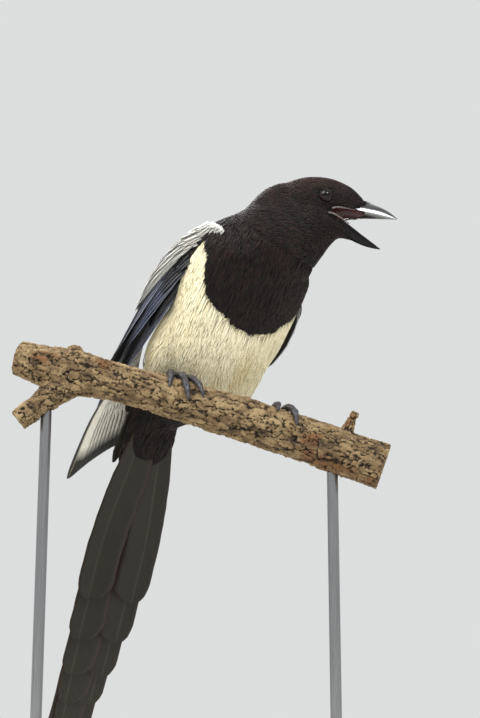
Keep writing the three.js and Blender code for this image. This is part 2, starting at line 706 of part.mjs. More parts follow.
function shank({ ankle, foot, set }, grow = 0) {
  const ball = onBranch(foot, set, TARSUS + GAP + 0.9);
  const top = v3(...ankle);
  const stations = [0, 0.5, 1].map((t) => ({
    at: top.clone().lerp(ball, t).toArray(),
    radius: TARSUS * (t === 0 ? 1.15 : t === 1 ? 1.1 : 0.92),
  }));
  return tube(stations, { rings: 5, sides: 10, grow });
}

function foot(leg) {
  const pad = new THREE.SphereGeometry(3.4, 8, 6);
  pad.translate(...onBranch(leg.foot, leg.set, 3.7 + GAP).toArray());
  return join([solidOf(pad), ...TOES.map((spec) => toe(leg, spec))]);
}

/** The feathered drumstick, from inside the body down to the ankle. */
function thigh({ knee, ankle }) {
  const top = v3(...knee).applyMatrix4(body.matrixWorld);
  const end = v3(...ankle);
  const stations = [
    { share: -0.2, wide: 8, high: 8, low: 8 },
    { share: 0, wide: 14, high: 14, low: 14 },
    { share: 0.45, wide: 11, high: 11, low: 11 },
    { share: 0.85, wide: 5.5, high: 5.5, low: 5.5 },
    { share: 1.06, wide: 3.2, high: 3.2, low: 3.2 },
  ].map(({ share, ...sizes }) => ({ at: top.clone().lerp(end, share), ...sizes }));
  return flesh(stations, { rings: 7, sides: 14, up: v3(1, 0, 0) });
}

// Putting the bird together

/** Everything ahead of a leaning plane in a frame, or with `behind` everything behind it. */
function beyond(piece, group, { x, lean }, offset, behind = false) {
  const normal = v3(1, 0, lean).normalize();
  const worldNormal = normal.clone().transformDirection(group.matrixWorld);
  const distance = v3(x, 0, 0).applyMatrix4(group.matrixWorld).dot(worldNormal) + offset;
  const n = worldNormal.multiplyScalar(behind ? -1 : 1);
  return piece.trimByPlane(n.toArray(), behind ? -distance : distance);
}

const sockets = join([eyeball(1, EYE.radius + GAP), eyeball(-1, EYE.radius + GAP)]);
const bird = join([trunk(), neck(), skull(), jaw(), lid(1), lid(-1)])
  .subtract(mouth())
  .add(join(bristles()))
  .subtract(join([upperBill(GAP), lowerBill(GAP)]))
  .subtract(join([sockets, shank(LEGS.right, GAP), shank(LEGS.left, GAP)]));
const cleared = join([trunk(GAP), neck(GAP)]);
const rump = { x: -70, lean: -0.1 };

const behindNeck = beyond(bird, body, NECK_CUT, -GAP / 2, true);
node("torso", beyond(behindNeck, body, rump, GAP / 2), WHITE_FEATHER, body);
const front = beyond(bird, body, NECK_CUT, GAP / 2);
node("neck", beyond(front, head, HEAD_CUT, -GAP / 2, true), BLACK_FEATHER, body);
node("head", beyond(front, head, HEAD_CUT, GAP / 2), BLACK_FEATHER, head);
node("bill_upper", upperBill(), BILL, head);
node("bill_lower", lowerBill(), BILL, head);
node("tongue", tongue().subtract(lowerBill(GAP)), MOUTH, head);
node("eye_right", eyeball(-1, EYE.radius), EYEBALL, head);
node("eye_left", eyeball(1, EYE.radius), EYEBALL, head);

const wings = { right: wing(RIGHT_WING), left: wing(LEFT_WING) };
const tailWhole = beyond(wholeTail().add(trunk()), body, rump, -GAP / 2, true);
node("tail", tailWhole, TAIL_FEATHER, tail);
node("wing_right", wings.right.subtract(cleared), BLUE_FEATHER, body);
node("wing_left", wings.left.subtract(cleared), BLUE_FEATHER, body);
node("scapulars_right", scapulars(RIGHT_WING).subtract(cleared), WHITE_FEATHER, body);
node("scapulars_left", scapulars(LEFT_WING).subtract(cleared), WHITE_FEATHER, body);

for (const [name, leg] of Object.entries(LEGS)) {
  node("thigh_" + name, thigh(leg).subtract(cleared).subtract(shank(leg, GAP)), BLACK_FEATHER);
  node("tarsus_" + name, shank(leg), SCALES);
  node("foot_" + name, foot(leg).subtract(shank(leg, GAP)), SCALES);
}

node("perch", perch(), WOOD);

function base() {
  const { length, width, height, corner } = BASE;
  const [x, y, bevel] = [length / 2, width / 2, 1.2];
  const outline = new THREE.Shape();
  outline.moveTo(-x + corner, -y);
  outline.lineTo(x - corner, -y);
  outline.absarc(x - corner, -y + corner, corner, -Math.PI / 2, 0);
  outline.absarc(x - corner, y - corner, corner, 0, Math.PI / 2);
  outline.absarc(-x + corner, y - corner, corner, Math.PI / 2, Math.PI);
  outline.absarc(-x + corner, -y + corner, corner, Math.PI, 1.5 * Math.PI);
  const edge = { bevelThickness: bevel, bevelSize: bevel, bevelOffset: -bevel, bevelSegments: 1 };
  const plate = new THREE.ExtrudeGeometry(outline, { depth: height - bevel, curveSegments: 5, ...edge });
  const flat = solidOf(plate).trimByPlane([0, 0, 1], 0);
  return Object.values(RODS).reduce((wood, spec) => wood.subtract(rod(spec, GAP)), flat);
}
node("stand_base", base(), STAND);
for (const [name, spec] of Object.entries(RODS)) node("stand_rod_" + name, rod(spec), STEEL);

export default magpie;
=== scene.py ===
"""Looks of a life-size Eurasian magpie model: plumage, bill, eyes, feet, cut branch and stand.

Sizes in the code are millimetres unless a name says otherwise, and meshes are written in metres.
The bird has three frames of its own: body, head and tail. In each, x points towards the bill, y to
the bird's left and z to its back or crown.
"""

import math

import bpy
import numpy as np
from bpy.props import FloatProperty, FloatVectorProperty, IntProperty, PointerProperty
from bpy.types import Operator, Panel, PropertyGroup
from mathutils import Matrix, Vector
from mathutils.bvhtree import BVHTree


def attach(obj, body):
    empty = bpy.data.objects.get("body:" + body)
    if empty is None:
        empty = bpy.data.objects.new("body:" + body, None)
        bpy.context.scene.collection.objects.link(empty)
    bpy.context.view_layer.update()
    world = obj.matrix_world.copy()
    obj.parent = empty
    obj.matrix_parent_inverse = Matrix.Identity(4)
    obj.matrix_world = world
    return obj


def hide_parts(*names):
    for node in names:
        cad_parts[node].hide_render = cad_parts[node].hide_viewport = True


bl_info = {
    "name": "Magpie model",
    "version": (1, 0, 0),
    "blender": (4, 5, 0),
    "location": "3D View > Sidebar > Magpie",
    "description": "Plumage, bill, feet, branch and stand of a life-size magpie model",
    "category": "Add Mesh",
}

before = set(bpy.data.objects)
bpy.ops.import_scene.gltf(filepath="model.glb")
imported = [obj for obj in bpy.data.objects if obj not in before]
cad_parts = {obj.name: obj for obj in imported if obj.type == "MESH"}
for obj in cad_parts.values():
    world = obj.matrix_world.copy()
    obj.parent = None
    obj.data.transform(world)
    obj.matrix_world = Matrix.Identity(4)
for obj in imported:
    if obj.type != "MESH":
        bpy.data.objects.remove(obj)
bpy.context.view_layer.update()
MM = 0.001
WING_REACH = 190  # millimetres from the wrist to the wing's tip, where u runs from 0 to 1
CAMERA_AT = (0.026, -0.92, 0.015)  # metres
CAMERA_TILT = 14.5  # degrees above the level
FOCAL_PIXELS, PICTURE_PIXELS = 1484, 718  # focal length and height of the picture
SENSOR = 36  # millimetres
FLOOR_SIDE, FLOOR_DROP = 80, 0.0005  # metres


def linear(code):
    """An sRGB hex colour as the linear colour that shaders use."""
    parts = [int(code[i : i + 2], 16) / 255 for i in (0, 2, 4)]
    return tuple(p / 12.92 if p <= 0.04045 else ((p + 0.055) / 1.055) ** 2.4 for p in parts)


# Frames, lines and random fields


def turned(at, yaw, pitch, roll):
    """One of the bird's frames as a matrix from its millimetres to the part's."""
    turn = Matrix.Rotation(math.radians(-yaw), 4, "Z") @ Matrix.Rotation(math.radians(-pitch), 4, "Y")
    return np.array(Matrix.Translation(at) @ turn @ Matrix.Rotation(math.radians(roll), 4, "X"))


BODY = turned((16, 22, 292), 55, 52, 0)
HEAD = turned((84, -20, 351.5), 10, -9, -8)
TAIL = turned((-31, 64, 238), 52.5, 63, -6)


def out_of(place, points):
    """Points of a frame in the part's millimetres."""
    return np.asarray(points, float) @ place[:3, :3].T + place[:3, 3]


def into(place, points):
    """Points of the part in a frame."""
    return (np.asarray(points, float) - place[:3, 3]) @ place[:3, :3]


def unit(vectors):
    return vectors / np.maximum(np.linalg.norm(vectors, axis=-1, keepdims=True), 1e-12)


def ease(x, low, high):
    """Rises smoothly from 0 at low to 1 at high."""
    t = np.clip((np.asarray(x, float) - low) / (high - low), 0, 1)
    return t * t * (3 - 2 * t)


def blend(a, b, t):
    return a + (b - a) * t


def curve(points, t):
    """Places at shares t of a smooth line through points."""
    points = np.asarray(points, float)
    line = np.vstack([2 * points[0] - points[1], points, 2 * points[-1] - points[-2]])
    s = np.clip(np.asarray(t, float), 0, 1) * (len(points) - 1)
    i = np.minimum(s.astype(int), len(points) - 2)
    w = (s - i)[..., None]
    a, b, c, d = (line[i + k] for k in range(4))
    gap = [np.maximum(((q - p) ** 2).sum(-1, keepdims=True) ** 0.25, 1e-4) for p, q in ((a, b), (b, c), (c, d))]
    m = ((b - a) / gap[0] - (c - a) / (gap[0] + gap[1]) + (c - b) / gap[1]) * gap[1]
    n = ((c - b) / gap[1] - (d - b) / (gap[1] + gap[2]) + (d - c) / gap[2]) * gap[1]
    return b + m * w + (3 * (c - b) - 2 * m - n) * w**2 + (2 * (b - c) + m + n) * w**3


def heading(points, t):
    """Which way the smooth line runs at shares t."""
    t = np.asarray(t, float)
    return unit(curve(points, np.minimum(t + 1e-4, 1)) - curve(points, np.maximum(t - 1e-4, 0)))


def scatter_code(cell, seed):
    """A steady random number from 0 to 1 for each lattice cell."""
    n = cell[..., 0] * 73856093 ^ cell[..., 1] * 19349663 ^ cell[..., 2] * 83492791 ^ (seed * 2654435761 & 0x7FFFFFFF)
    n = (n & 0x7FFFFFFF) * 1103515245 + 12345 & 0x7FFFFFFF
    n = (n ^ n >> 13) * 1540483477 & 0x7FFFFFFF
    return (n ^ n >> 15) / 0x7FFFFFFF


def mottle(points, size, seed=0):
    """A soft random value from -1 to 1 in blotches of this size."""
    spot = np.asarray(points, float) / size + 911.7
    cell = np.floor(spot).astype(np.int64)
    part = spot - cell
    part = part * part * (3 - 2 * part)
    total = 0
    for corner in range(8):
        step = np.array([corner & 1, corner >> 1 & 1, corner >> 2 & 1])
        weight = np.where(step, part, 1 - part).prod(-1)
        total = total + weight * scatter_code(cell + step, seed)
    return total * 2 - 1


def flakes(points, size, seed=0):
    """Random plates of this size: the distance to a plate's edge as a share of its size, and its code."""
    spot = np.asarray(points, float) / size + 517.3
    cell = np.floor(spot).astype(np.int64)
    best = np.full(len(spot), 9.0)
    second = np.full(len(spot), 9.0)
    code = np.zeros(len(spot))
    for i in range(27):
        near = cell + np.array([i % 3 - 1, i // 3 % 3 - 1, i // 9 - 1])
        seedling = near + np.stack([scatter_code(near, seed + k) for k in range(3)], -1)
        far = np.linalg.norm(seedling - spot, axis=-1)
        closer = far < best
        second = np.where(closer, best, np.minimum(second, far))
        code = np.where(closer, scatter_code(near, seed + 3), code)
        best = np.where(closer, far, best)
    return second - best, code


# Meshes from arrays


def mesh_object(name, points, faces, materials=(), index=None, marks=None, maps=None):
    """An object from points in millimetres and a list of face arrays, with its marks and maps."""
    mesh = bpy.data.meshes.new(name)
    points = np.asarray(points, float).reshape(-1, 3) * MM
    faces = [f for f in faces if len(f)]
    mesh.vertices.add(len(points))
    mesh.vertices.foreach_set("co", points.astype(np.float32).ravel())
    corners = np.concatenate([f.ravel() for f in faces])
    sizes = np.concatenate([np.full(len(f), f.shape[1]) for f in faces])
    mesh.loops.add(len(corners))
    mesh.loops.foreach_set("vertex_index", corners.astype(np.int32))
    mesh.polygons.add(len(sizes))
    mesh.polygons.foreach_set("loop_start", (np.cumsum(sizes) - sizes).astype(np.int32))
    mesh.update(calc_edges=True)
    for map_name, places in (maps or {}).items():
        layer = mesh.uv_layers.new(name=map_name)
        layer.data.foreach_set("uv", np.asarray(places, np.float32).ravel())
    if marks is not None:
        layer = mesh.color_attributes.new("marks", "FLOAT_COLOR", "POINT")
        layer.data.foreach_set("color", np.asarray(marks, np.float32).ravel())
    for material in materials:
        mesh.materials.append(material)
    if index is not None:
        mesh.polygons.foreach_set("material_index", np.asarray(index, np.int32))
    mesh.polygons.foreach_set("use_smooth", np.ones(len(sizes), bool))
    made = bpy.data.objects.new(name, mesh)
    bpy.context.scene.collection.objects.link(made)
    return made


def pick(made):
    """Makes one object the only selected and active one."""
    bpy.ops.object.select_all(action="DESELECT")
    made.select_set(True)
    bpy.context.view_layer.objects.active = made


def shape_with(made, kind, **settings):
    """Adds a modifier and applies it."""
    pick(made)
    modifier = made.modifiers.new(kind.title(), kind)
    for key, value in settings.items():
        setattr(modifier, key, value)
    bpy.ops.object.modifier_apply(modifier=modifier.name)


def places_of(made):
    """An object's points in millimetres and their normals."""
    points = np.empty(len(made.data.vertices) * 3, np.float32)
    normals = np.empty_like(points)
    made.data.vertices.foreach_get("co", points)
    made.data.vertices.foreach_get("normal", normals)
    return points.reshape(-1, 3).astype(float) / MM, normals.reshape(-1, 3).astype(float)


def put(made, points):
    """Moves an object's points to these millimetres."""
    made.data.vertices.foreach_set("co", (points * MM).astype(np.float32).ravel())
    made.data.update()


def write_marks(made, marks):
    layer = made.data.color_attributes.get("marks") or made.data.color_attributes.new("marks", "FLOAT_COLOR", "POINT")
    layer.data.foreach_set("color", np.asarray(marks, np.float32).ravel())


def dress(made, materials):
    made.data.materials.clear()
    for material in materials:
        made.data.materials.append(material)


def belongs(made, slot, *nodes):
    """The piece rides on the part's only body and stands for some nodes; its slot is not used."""
    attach(made, "root")
    if nodes:
        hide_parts(*nodes)


def loft(rings, start=0):
    """Points and faces of a closed form through rings of points, each end closed round its middle."""
    count, sides = rings.shape[:2]
    points = np.concatenate([rings.reshape(-1, 3), rings[[0, -1]].mean(1)])
    i, k = np.meshgrid(np.arange(count - 1), np.arange(sides), indexing="ij")
    a = (i * sides + k).ravel()
    b = (i * sides + (k + 1) % sides).ravel()
    quads = np.stack([a, b, b + sides, a + sides], 1)
    k = np.arange(sides)
    after = (k + 1) % sides
    last = (count - 1) * sides
    near = np.stack([after, k, np.full(sides, count * sides)], 1)
    far = np.stack([last + k, last + after, np.full(sides, count * sides + 1)], 1)
    tris = np.concatenate([near, far])
    middle = points.mean(0)
    corner = points[quads] - middle
    volume = np.einsum("ij,ij->i", corner[:, 0], np.cross(corner[:, 1], corner[:, 2])).sum()
    if volume < 0:
        quads, tris = quads[:, ::-1], tris[:, ::-1]
    return points, quads + start, tris + start


def gather(name, forms):
    """One object from several lofts."""
    points, quads, tris, start = [], [], [], 0
    for rings in forms:
        p, q, t = loft(rings, start)
        points.append(p)
        quads.append(q)
        tris.append(t)
        start += len(p)
    return mesh_object(name, np.concatenate(points), [np.concatenate(quads), np.concatenate(tris)])


def ring(at, side, over, wide, high, low, sides, power=2.15):
    """Rings of points round middles, as wide, high and low as given."""
    turn = 2 * np.pi * np.arange(sides) / sides
    across, rise = (np.sign(f) * np.abs(f) ** (2 / power) for f in (np.cos(turn), np.sin(turn)))
    tall = np.where(rise > 0, high[:, None], low[:, None]) * rise
    return at[:, None] + side[:, None] * (wide[:, None] * across)[..., None] + over[:, None] * tall[..., None]


def flesh(stations, rings=36, sides=48, up=(0, 0, 1)):
    """A rounded body through stations of middle, half width, height and depth."""
    stations = np.array(stations, float)
    t = (1 - np.cos(np.pi * np.arange(rings + 1) / rings)) / 2
    along = heading(stations[:, :3], t)
    side = unit(np.cross(up, along))
    wide, high, low = curve(stations[:, 3:6], t).T
    return ring(curve(stations[:, :3], t), side, np.cross(along, side), wide, high, low, sides)


# Shape of the bird under its feathers, from tail root to bill

TRUNK = [
    (-90, -11, 8, 9, 6, 9), (-72, -6, 4, 19, 13, 18), (-46, 1, -4, 33, 28, 26), (-14, 0, -9, 42, 38, 29),
    (16, 0, -10, 43, 38, 31), (42, 2, -8, 41, 31, 35), (62, 5, -10, 27, 18, 26),
]
FLANK = [(6, 24, -4, 10, 13, 13), (-16, 30, -3, 12, 17, 14), (-38, 33.5, -2, 12, 16, 13), (-54, 32, -2, 8, 10, 8)]
FLANK_SHIFT = -2
NECK = [
    (0, 36, 25, 35), (0.3, 34, 24.5, 35), (0.45, 30.5, 25, 33.5), (0.58, 26.5, 26, 32.5), (0.7, 21.8, 25, 28),
    (0.84, 17, 24, 22), (1, 9, 14, 11)
]
NAPE = [
    (-18, 1, -1, 12, 13, 12), (-31, 1.5, -5, 15.5, 15, 14), (-39, 3, -11, 17, 13, 14), (-47, 4, -18, 16, 9.5, 12),
    (-53, 5, -24, 11, 6, 8)
]
NECK_ROOT, NECK_BEND, CHIN = (28, 0, -4), (66, 10, -8), (6, 0, -13)
SKULL = [
    (-31, 0, -3, 8, 8, 9), (-26, 0, -2, 13.5, 13, 14), (-14, 0, 0, 16.2, 15.4, 16), (-3, 0, 0, 15.2, 16, 14),
    (8, 0, -1, 12, 13.6, 8.5), (16, 0, -3, 8.6, 10.2, 4.5), (24, 0, -4.5, 5.2, 6.2, 1.4),
]
JAW = [(-8, 0, -12, 13, 6, 9), (4, 0, -10.5, 11.6, 3.6, 7.6), (14, 0, -9.6, 8, 2.4, 5.4), (25, 0, -9.4, 3.6, 1.4, 2.6)]
GAPE, HINGE = math.radians(29), (-4, 0, -7)
TAIL_ROOT = [
    (8, 0, -3, 16, 10, 13), (-6, 0, -4, 18, 8.5, 9.5), (-20, 0, -4.6, 19.5, 7.4, 7.5),
    (-34, 0, -4.8, 18, 5.6, 5.6), (-46, 0, -4.8, 13, 2.4, 2.4),
]
THIGH = [(-0.2, 8), (0, 14), (0.45, 11), (0.85, 5.5), (1.06, 3.2)]
KNEES = {"right": (-14, -22, -12), "left": (-14, 20, -18)}
ANKLES = {"right": (-38, 41, 243.5), "left": (24, 47, 227)}
EYE = (-1, 11.8, -1.6)
EYE_RADIUS = 4.6


def opened(points):
    """Turns points of the closed lower jaw down by the gape."""
    p = np.asarray(points, float) - HINGE
    x = p[..., 0] * math.cos(GAPE) + p[..., 2] * math.sin(GAPE)
    z = p[..., 2] * math.cos(GAPE) - p[..., 0] * math.sin(GAPE)
    return np.stack([x, p[..., 1], z], -1) + HINGE


def neck_line(shares):
    """Middle of the neck, which bends from the body's axis to the head's."""
    a, b, c = out_of(BODY, NECK_ROOT), out_of(BODY, NECK_BEND), out_of(HEAD, CHIN)
    t = np.asarray(shares, float)[:, None]
    return a * (1 - t) ** 2 + 2 * b * t * (1 - t) + c * t * t


def thigh_line(side, shares):
    top = out_of(BODY, KNEES[side])
    return top + (np.array(ANKLES[side]) - top) * np.asarray(shares, float)[:, None]


def flesh_forms():
    """Every rounded form that the skin joins."""
    forms = [out_of(BODY, flesh(TRUNK, 44, 64))]
    for side in (1, -1):
        forms.append(out_of(BODY, flesh([(x, side * y + FLANK_SHIFT, *rest) for x, y, *rest in FLANK])))
    shares, wide, high, low = np.array(NECK).T
    stations = np.column_stack([neck_line(shares), wide, high, low])
    forms.append(flesh(stations, 32, 56, unit(BODY[:3, 2] + HEAD[:3, 2])))
    forms.append(out_of(HEAD, flesh(SKULL)))
    forms.append(out_of(HEAD, flesh(NAPE)))
    forms.append(out_of(HEAD, opened(flesh(JAW))))
    forms.append(out_of(TAIL, flesh(TAIL_ROOT, 24)))
    shares, radii = np.array(THIGH).T
    for side in KNEES:
        stations = np.column_stack([thigh_line(side, shares), radii, radii, radii])
        forms.append(flesh(stations, 24, 32, (1, 0, 0)))
    return forms


# The coat along the bird: frame, place on the axis, then length, width and depth of its feathers

COAT = [
    (TAIL, (-50, 0, -5), 15, 1.5, 1.4),
    (TAIL, (-14, 0, -5), 15, 1.5, 2.0),
    (BODY, (-66, -4, 2), 15, 1.4, 2.4),
    (BODY, (-40, 1, -4), 17, 1.4, 2.6),
    (BODY, (-14, 0, -9), 16, 1.3, 2.6),
    (BODY, (12, 0, -10), 13, 1.25, 2.3),
    (BODY, (40, 3, -8), 10, 1.15, 1.9),
    (BODY, (66, 10, 4), 8, 1.0, 1.6),
    (HEAD, (-28, 0, -8), 6.4, 0.9, 1.2),
    (HEAD, (-12, 0, -4), 4.8, 0.8, 0.9),
    (HEAD, (4, 0, -4), 3.6, 0.7, 0.65),
    (HEAD, (24, 0, -6), 2.6, 0.6, 0.45),
]
AXIS = np.array([out_of(place, at) for place, at, *_ in COAT])
COAT_SIZES = np.array([row[2:] for row in COAT], float)
STEPS = np.linspace(0, 1, 160)
AXIS_LINE = curve(AXIS, STEPS)
AXIS_HEADING = heading(AXIS, STEPS)


def nearest_on_axis(points):
    """Which step of the axis lies nearest to each point."""
    best = np.empty(len(points), int)
    for start in range(0, len(points), 20000):
        part = points[start : start + 20000]
        gaps = ((part[:, None] - AXIS_LINE) ** 2).sum(-1)
        best[start : start + 20000] = gaps.argmin(1)
    return best


def coat_sizes(step):
    """Length, width and depth of the coat at steps of the axis."""
    t = STEPS[step] * (len(COAT) - 1)
    return tuple(np.interp(t, np.arange(len(COAT)), column) for column in COAT_SIZES.T)


def unwrap(points, step):
    """The skin's own unwrap: round the axis one way and along it the other."""
    back = unit(BODY[:3, 2] + 0.0)
    away = points - AXIS_LINE[step]
    side = unit(np.cross(back, AXIS_HEADING[step]))
    turn = np.arctan2((away * side).sum(1), (away * np.cross(AXIS_HEADING[step], side)).sum(1))
    return np.column_stack([0.02 + 0.96 * (turn / (2 * np.pi) + 0.5), 0.02 + 0.96 * STEPS[step]])


# Where the black ends on the breast: degrees round from the keel, and the place along the body
BIB = ([0, 25, 43, 60, 68, 77, 95, 104, 118], [1.5, 3.5, 11, 17, 28, 39, 47, 20, -60])


def bib_edge(points, ragged=1.0):
    """How far each point lies ahead of the scalloped edge of the black breast, and its place in the body."""
    p = into(BODY, points)
    border = np.interp(np.degrees(np.abs(np.arctan2(p[:, 1], -(p[:, 2] + 7)))), *BIB)
    across = p * (0, 1, 1)
    scallop = 1.4 - 3.4 * np.abs(mottle(across, 4.6, 1)) + 0.7 * mottle(across, 1.5, 2)
    return p[:, 0] - border - ragged * scallop, p


def leg_share(points):
    """How much each point belongs to a feathered leg below the flank."""
    share = np.zeros(len(points))
    for side in KNEES:
        top, end = thigh_line(side, [0, 1.06])
        t = np.clip(((points - top) @ (end - top)) / ((end - top) ** 2).sum(), 0, 1)
        gap = np.linalg.norm(points - top - (end - top) * t[:, None], axis=1)
        radius = np.interp(t, [0, 0.45, 0.85, 1], [14, 11, 5.5, 3.2])
        share = np.maximum(share, ease(t, 0.5, 0.62) * (gap < radius + 1.2))
    return share


def pale_share(points, ragged=1.0):
    """1 where the plumage is cream-white, 0 where it is black."""
    ahead_of, p = bib_edge(points, ragged)
    pale = (ahead_of < 0) & (p[:, 0] + 1.5 * ragged * mottle(points, 3.2, 3) > -58)
    return np.where(leg_share(points) > 0.5, 0.0, pale.astype(float))


def tone(points):
    """0 to 1: where black, brown on the nape and crown as a painted highlight; where cream, ochre in random streaks,
    with painted shade on the underside between the legs.
    """
    h = into(HEAD, points)
    b = into(BODY, points)
    # Painted highlight: the nape and crown, which face the light, turn brown
    nape = ease(h[:, 2], -6, 12) * ease(h[:, 0], 22, -8)
    nape = np.maximum(nape, 0.8 * ease(b[:, 2], -2, 16) * ease(b[:, 0], 34, 52))
    streak = 0.5 + 0.5 * mottle(b * (0.13, 1, 1), 4.6, 5) + 0.35 * mottle(b * (0.1, 1, 1), 1.9, 6)
    # Painted shade: more ochre on the underside between the legs
    crotch_shade = np.exp(-(((b - (-26, 6, -36)) / (22, 16, 14)) ** 2).sum(1))
    pale = pale_share(points, 0)
    dark = np.clip(0.12 + 0.75 * nape + 0.25 * mottle(points, 7, 7), 0, 1)
    light = np.clip(0.5 * streak + 0.4 * crotch_shade - 0.16, 0, 1)
    return np.where(pale > 0.5, light, dark)


def lay_of(points, normals, step):
    """Which way the feathers lie: back towards the tail, and on the belly towards the legs."""
    lay = -AXIS_HEADING[step]
    b = into(BODY, points)
    for side in KNEES:
        goal = thigh_line(side, [0.86])[0] + (0, -6, 4)
        to = goal - points
        near = np.exp(-((np.linalg.norm(to, axis=1) / 34) ** 2)) * ease(b[:, 2], -2, -22) * ease(b[:, 0], 26, 0)
        lay = lay + unit(to) * (1.7 * near)[:, None]
    legs = leg_share(points)
    for side in KNEES:
        top, end = thigh_line(side, [0, 1])
        lay = blend(lay, unit(end - top), 0.5 * legs[:, None])
    h = into(HEAD, points)
    around = h - (EYE[0], 0, EYE[2])
    around[:, 1] = 0
    close = np.exp(-((np.linalg.norm(around, axis=1) / 9) ** 2)) * ease(h[:, 0], -1, -5) * (h[:, 0] > -26)
    lay = lay + (unit(around) @ HEAD[:3, :3].T) * (0.5 * close)[:, None]
    return unit(lay - normals * (lay * normals).sum(1, keepdims=True))


def in_mouth(points, margin=0.0):
    """Points in the open mouth, by the head's own frame."""
    h = into(HEAD, points)
    roof = np.interp(h[:, 0], [4, 10], [-8.6, -6.1]) + margin
    sole = np.interp(h[:, 0], [4, 10, 60], [-9.4, -14.5, -42]) - margin
    return (h[:, 0] > 3.4 - margin) & (h[:, 2] < roof) & (h[:, 2] > sole) & (np.abs(h[:, 1]) < 13.5)


class Sheaf:
    """Feathers gathered into one mesh, with their marks and their places on the bake map."""

    def __init__(self):
        self.parts, self.size = [], 0

    def add(self, points, quads, tris, marks, bake, vane=None, under=None, shift=0.0):
        """Adds feathers given as arrays; faces of the underside go to a second material."""
        if under is None:
            under = (np.zeros(len(quads), int), np.zeros(len(tris), int))
        maps = []
        for faces, low in zip((quads, tris), under):
            corner = bake[faces] + (low[:, None] * shift)[..., None] * (1, 0)
            maps.append((corner.reshape(-1, 2), (bake if vane is None else vane)[faces].reshape(-1, 2)))
        self.parts.append((points, quads + self.size, tris + self.size, marks, maps, under))
        self.size += len(points)

    def piece(self, name, materials, flat=False):
        points, quads, tris, marks = (np.concatenate([p[k] for p in self.parts]) for k in range(4))
        bake = np.concatenate([p[4][0][0] for p in self.parts] + [p[4][1][0] for p in self.parts])
        vane = np.concatenate([p[4][0][1] for p in self.parts] + [p[4][1][1] for p in self.parts])
        index = np.concatenate([p[5][0] for p in self.parts] + [p[5][1] for p in self.parts])
        maps = {"OFBake": bake} if flat else {"OFBake": bake, "Vane": vane}
        return mesh_object(name, points, [quads, tris], materials, index, marks, maps)


def strand_faces(rows):
    """Faces of one strand: rows of left edge, ridge and right edge, then its tip."""
    quads = []
    for i in range(rows - 1):
        a, b = 3 * i, 3 * i + 3
        quads += [(a, a + 1, b + 1, b), (a + 1, a + 2, b + 2, b + 1), (a + 2, a, b, b + 2)]
    last, tip = 3 * (rows - 1), 3 * rows
    tris = [(last, last + 1, tip), (last + 1, last + 2, tip), (last + 2, last, tip), (0, 2, 1)]
    return np.array(quads), np.array(tris)


def strands(line, ups, width, marks, bake, ridge=0.3, profile=(0.55, 0.95, 1, 0.72)):
    """Closed strands along lines of points, one line a row, as arrays for a sheaf."""
    count, rows = len(line), line.shape[1] - 1
    run = np.gradient(line, axis=1)
    side = unit(np.cross(ups, run))
    half = (np.asarray(profile) * width[:, None] / 2)[..., None]
    body, up = line[:, :-1], ups[:, :-1]
    edges = np.stack([body - side[:, :-1] * half, body + up * half * 2 * ridge, body + side[:, :-1] * half], 2)
    points = np.concatenate([edges.reshape(count, -1, 3), line[:, -1:]], 1).reshape(-1, 3)
    quads, tris = strand_faces(rows)
    base = (np.arange(count) * (3 * rows + 1))[:, None, None]
    quads, tris = (quads + base).reshape(-1, 4), (tris + base).reshape(-1, 3)
    along = np.append(np.repeat(np.linspace(0, 0.85, rows), 3), 1)
    across = np.append(np.tile([0, 0.5, 1], rows), 0.5)
    all_marks = np.repeat(marks[:, None], len(along), 1)
    all_marks[:, :, 1] = along
    spread = np.stack([across - 0.5, along - 0.5], -1) * 0.003
    places = (bake[:, None] + spread).reshape(-1, 2)
    return points, quads, tris, all_marks.reshape(-1, 4), places


def marched(skin, roots, normals, lay, length, depth, rng, steps=4):
    """Lines that run over the skin from each root, rising to the coat's depth."""
    lines, ups = [], []
    here, up, way = roots, normals, lay
    lift = depth * rng.uniform(0.85, 1.1, len(roots))
    for k in range(steps + 1):
        t = k / steps
        height = lift * (t**0.6 - 0.35 * t**3)
        lines.append(here + up * height[:, None])
        ups.append(up)
        if k == steps:
            break
        ahead = here + way * (length / steps)[:, None]
        found = [skin.find_nearest(p) for p in (ahead * MM).tolist()]
        here = np.array([f[0] for f in found]) / MM
        up = unit(up + np.array([f[1] for f in found]))
        way = unit(way - up * (way * up).sum(1, keepdims=True))
    return np.stack(lines, 1), np.stack(ups, 1)


def scatter(made, density, rng):
    """Random roots over an object's faces, about `density` to the square millimetre."""
    mesh = made.data
    mesh.calc_loop_triangles()
    tris = np.empty(len(mesh.loop_triangles) * 3, np.int32)
    mesh.loop_triangles.foreach_get("vertices", tris)
    tris = tris.reshape(-1, 3)
    points, normals = places_of(made)
    corner = points[tris]
    area = np.linalg.norm(np.cross(corner[:, 1] - corner[:, 0], corner[:, 2] - corner[:, 0]), axis=1) / 2
    wanted = density(corner.mean(1)) * area
    count = np.floor(wanted + rng.random(len(wanted))).astype(int)
    chosen = np.repeat(np.arange(len(tris)), count)
    a, b = rng.random((2, len(chosen)))
    flip = a + b > 1
    a, b = np.where(flip, 1 - a, a), np.where(flip, 1 - b, b)
    weights = np.stack([1 - a - b, a, b], 1)[..., None]
    return (corner[chosen] * weights).sum(1), unit((normals[tris[chosen]] * weights).sum(1))


def smooth_grid(rows, columns):
    """Faces of the upper side of a grid of points, and those of a lower side that shares its rim."""
    grid = np.arange(rows * columns).reshape(rows, columns)
    below = grid.copy()
    inner = below[1:-1, 1:-1]
    inner[:] = rows * columns + np.arange(inner.size).reshape(inner.shape)
    quad = lambda g: np.stack([g[:-1, :-1], g[:-1, 1:], g[1:, 1:], g[1:, :-1]], -1).reshape(-1, 4)
    return quad(grid), quad(below)[:, ::-1]


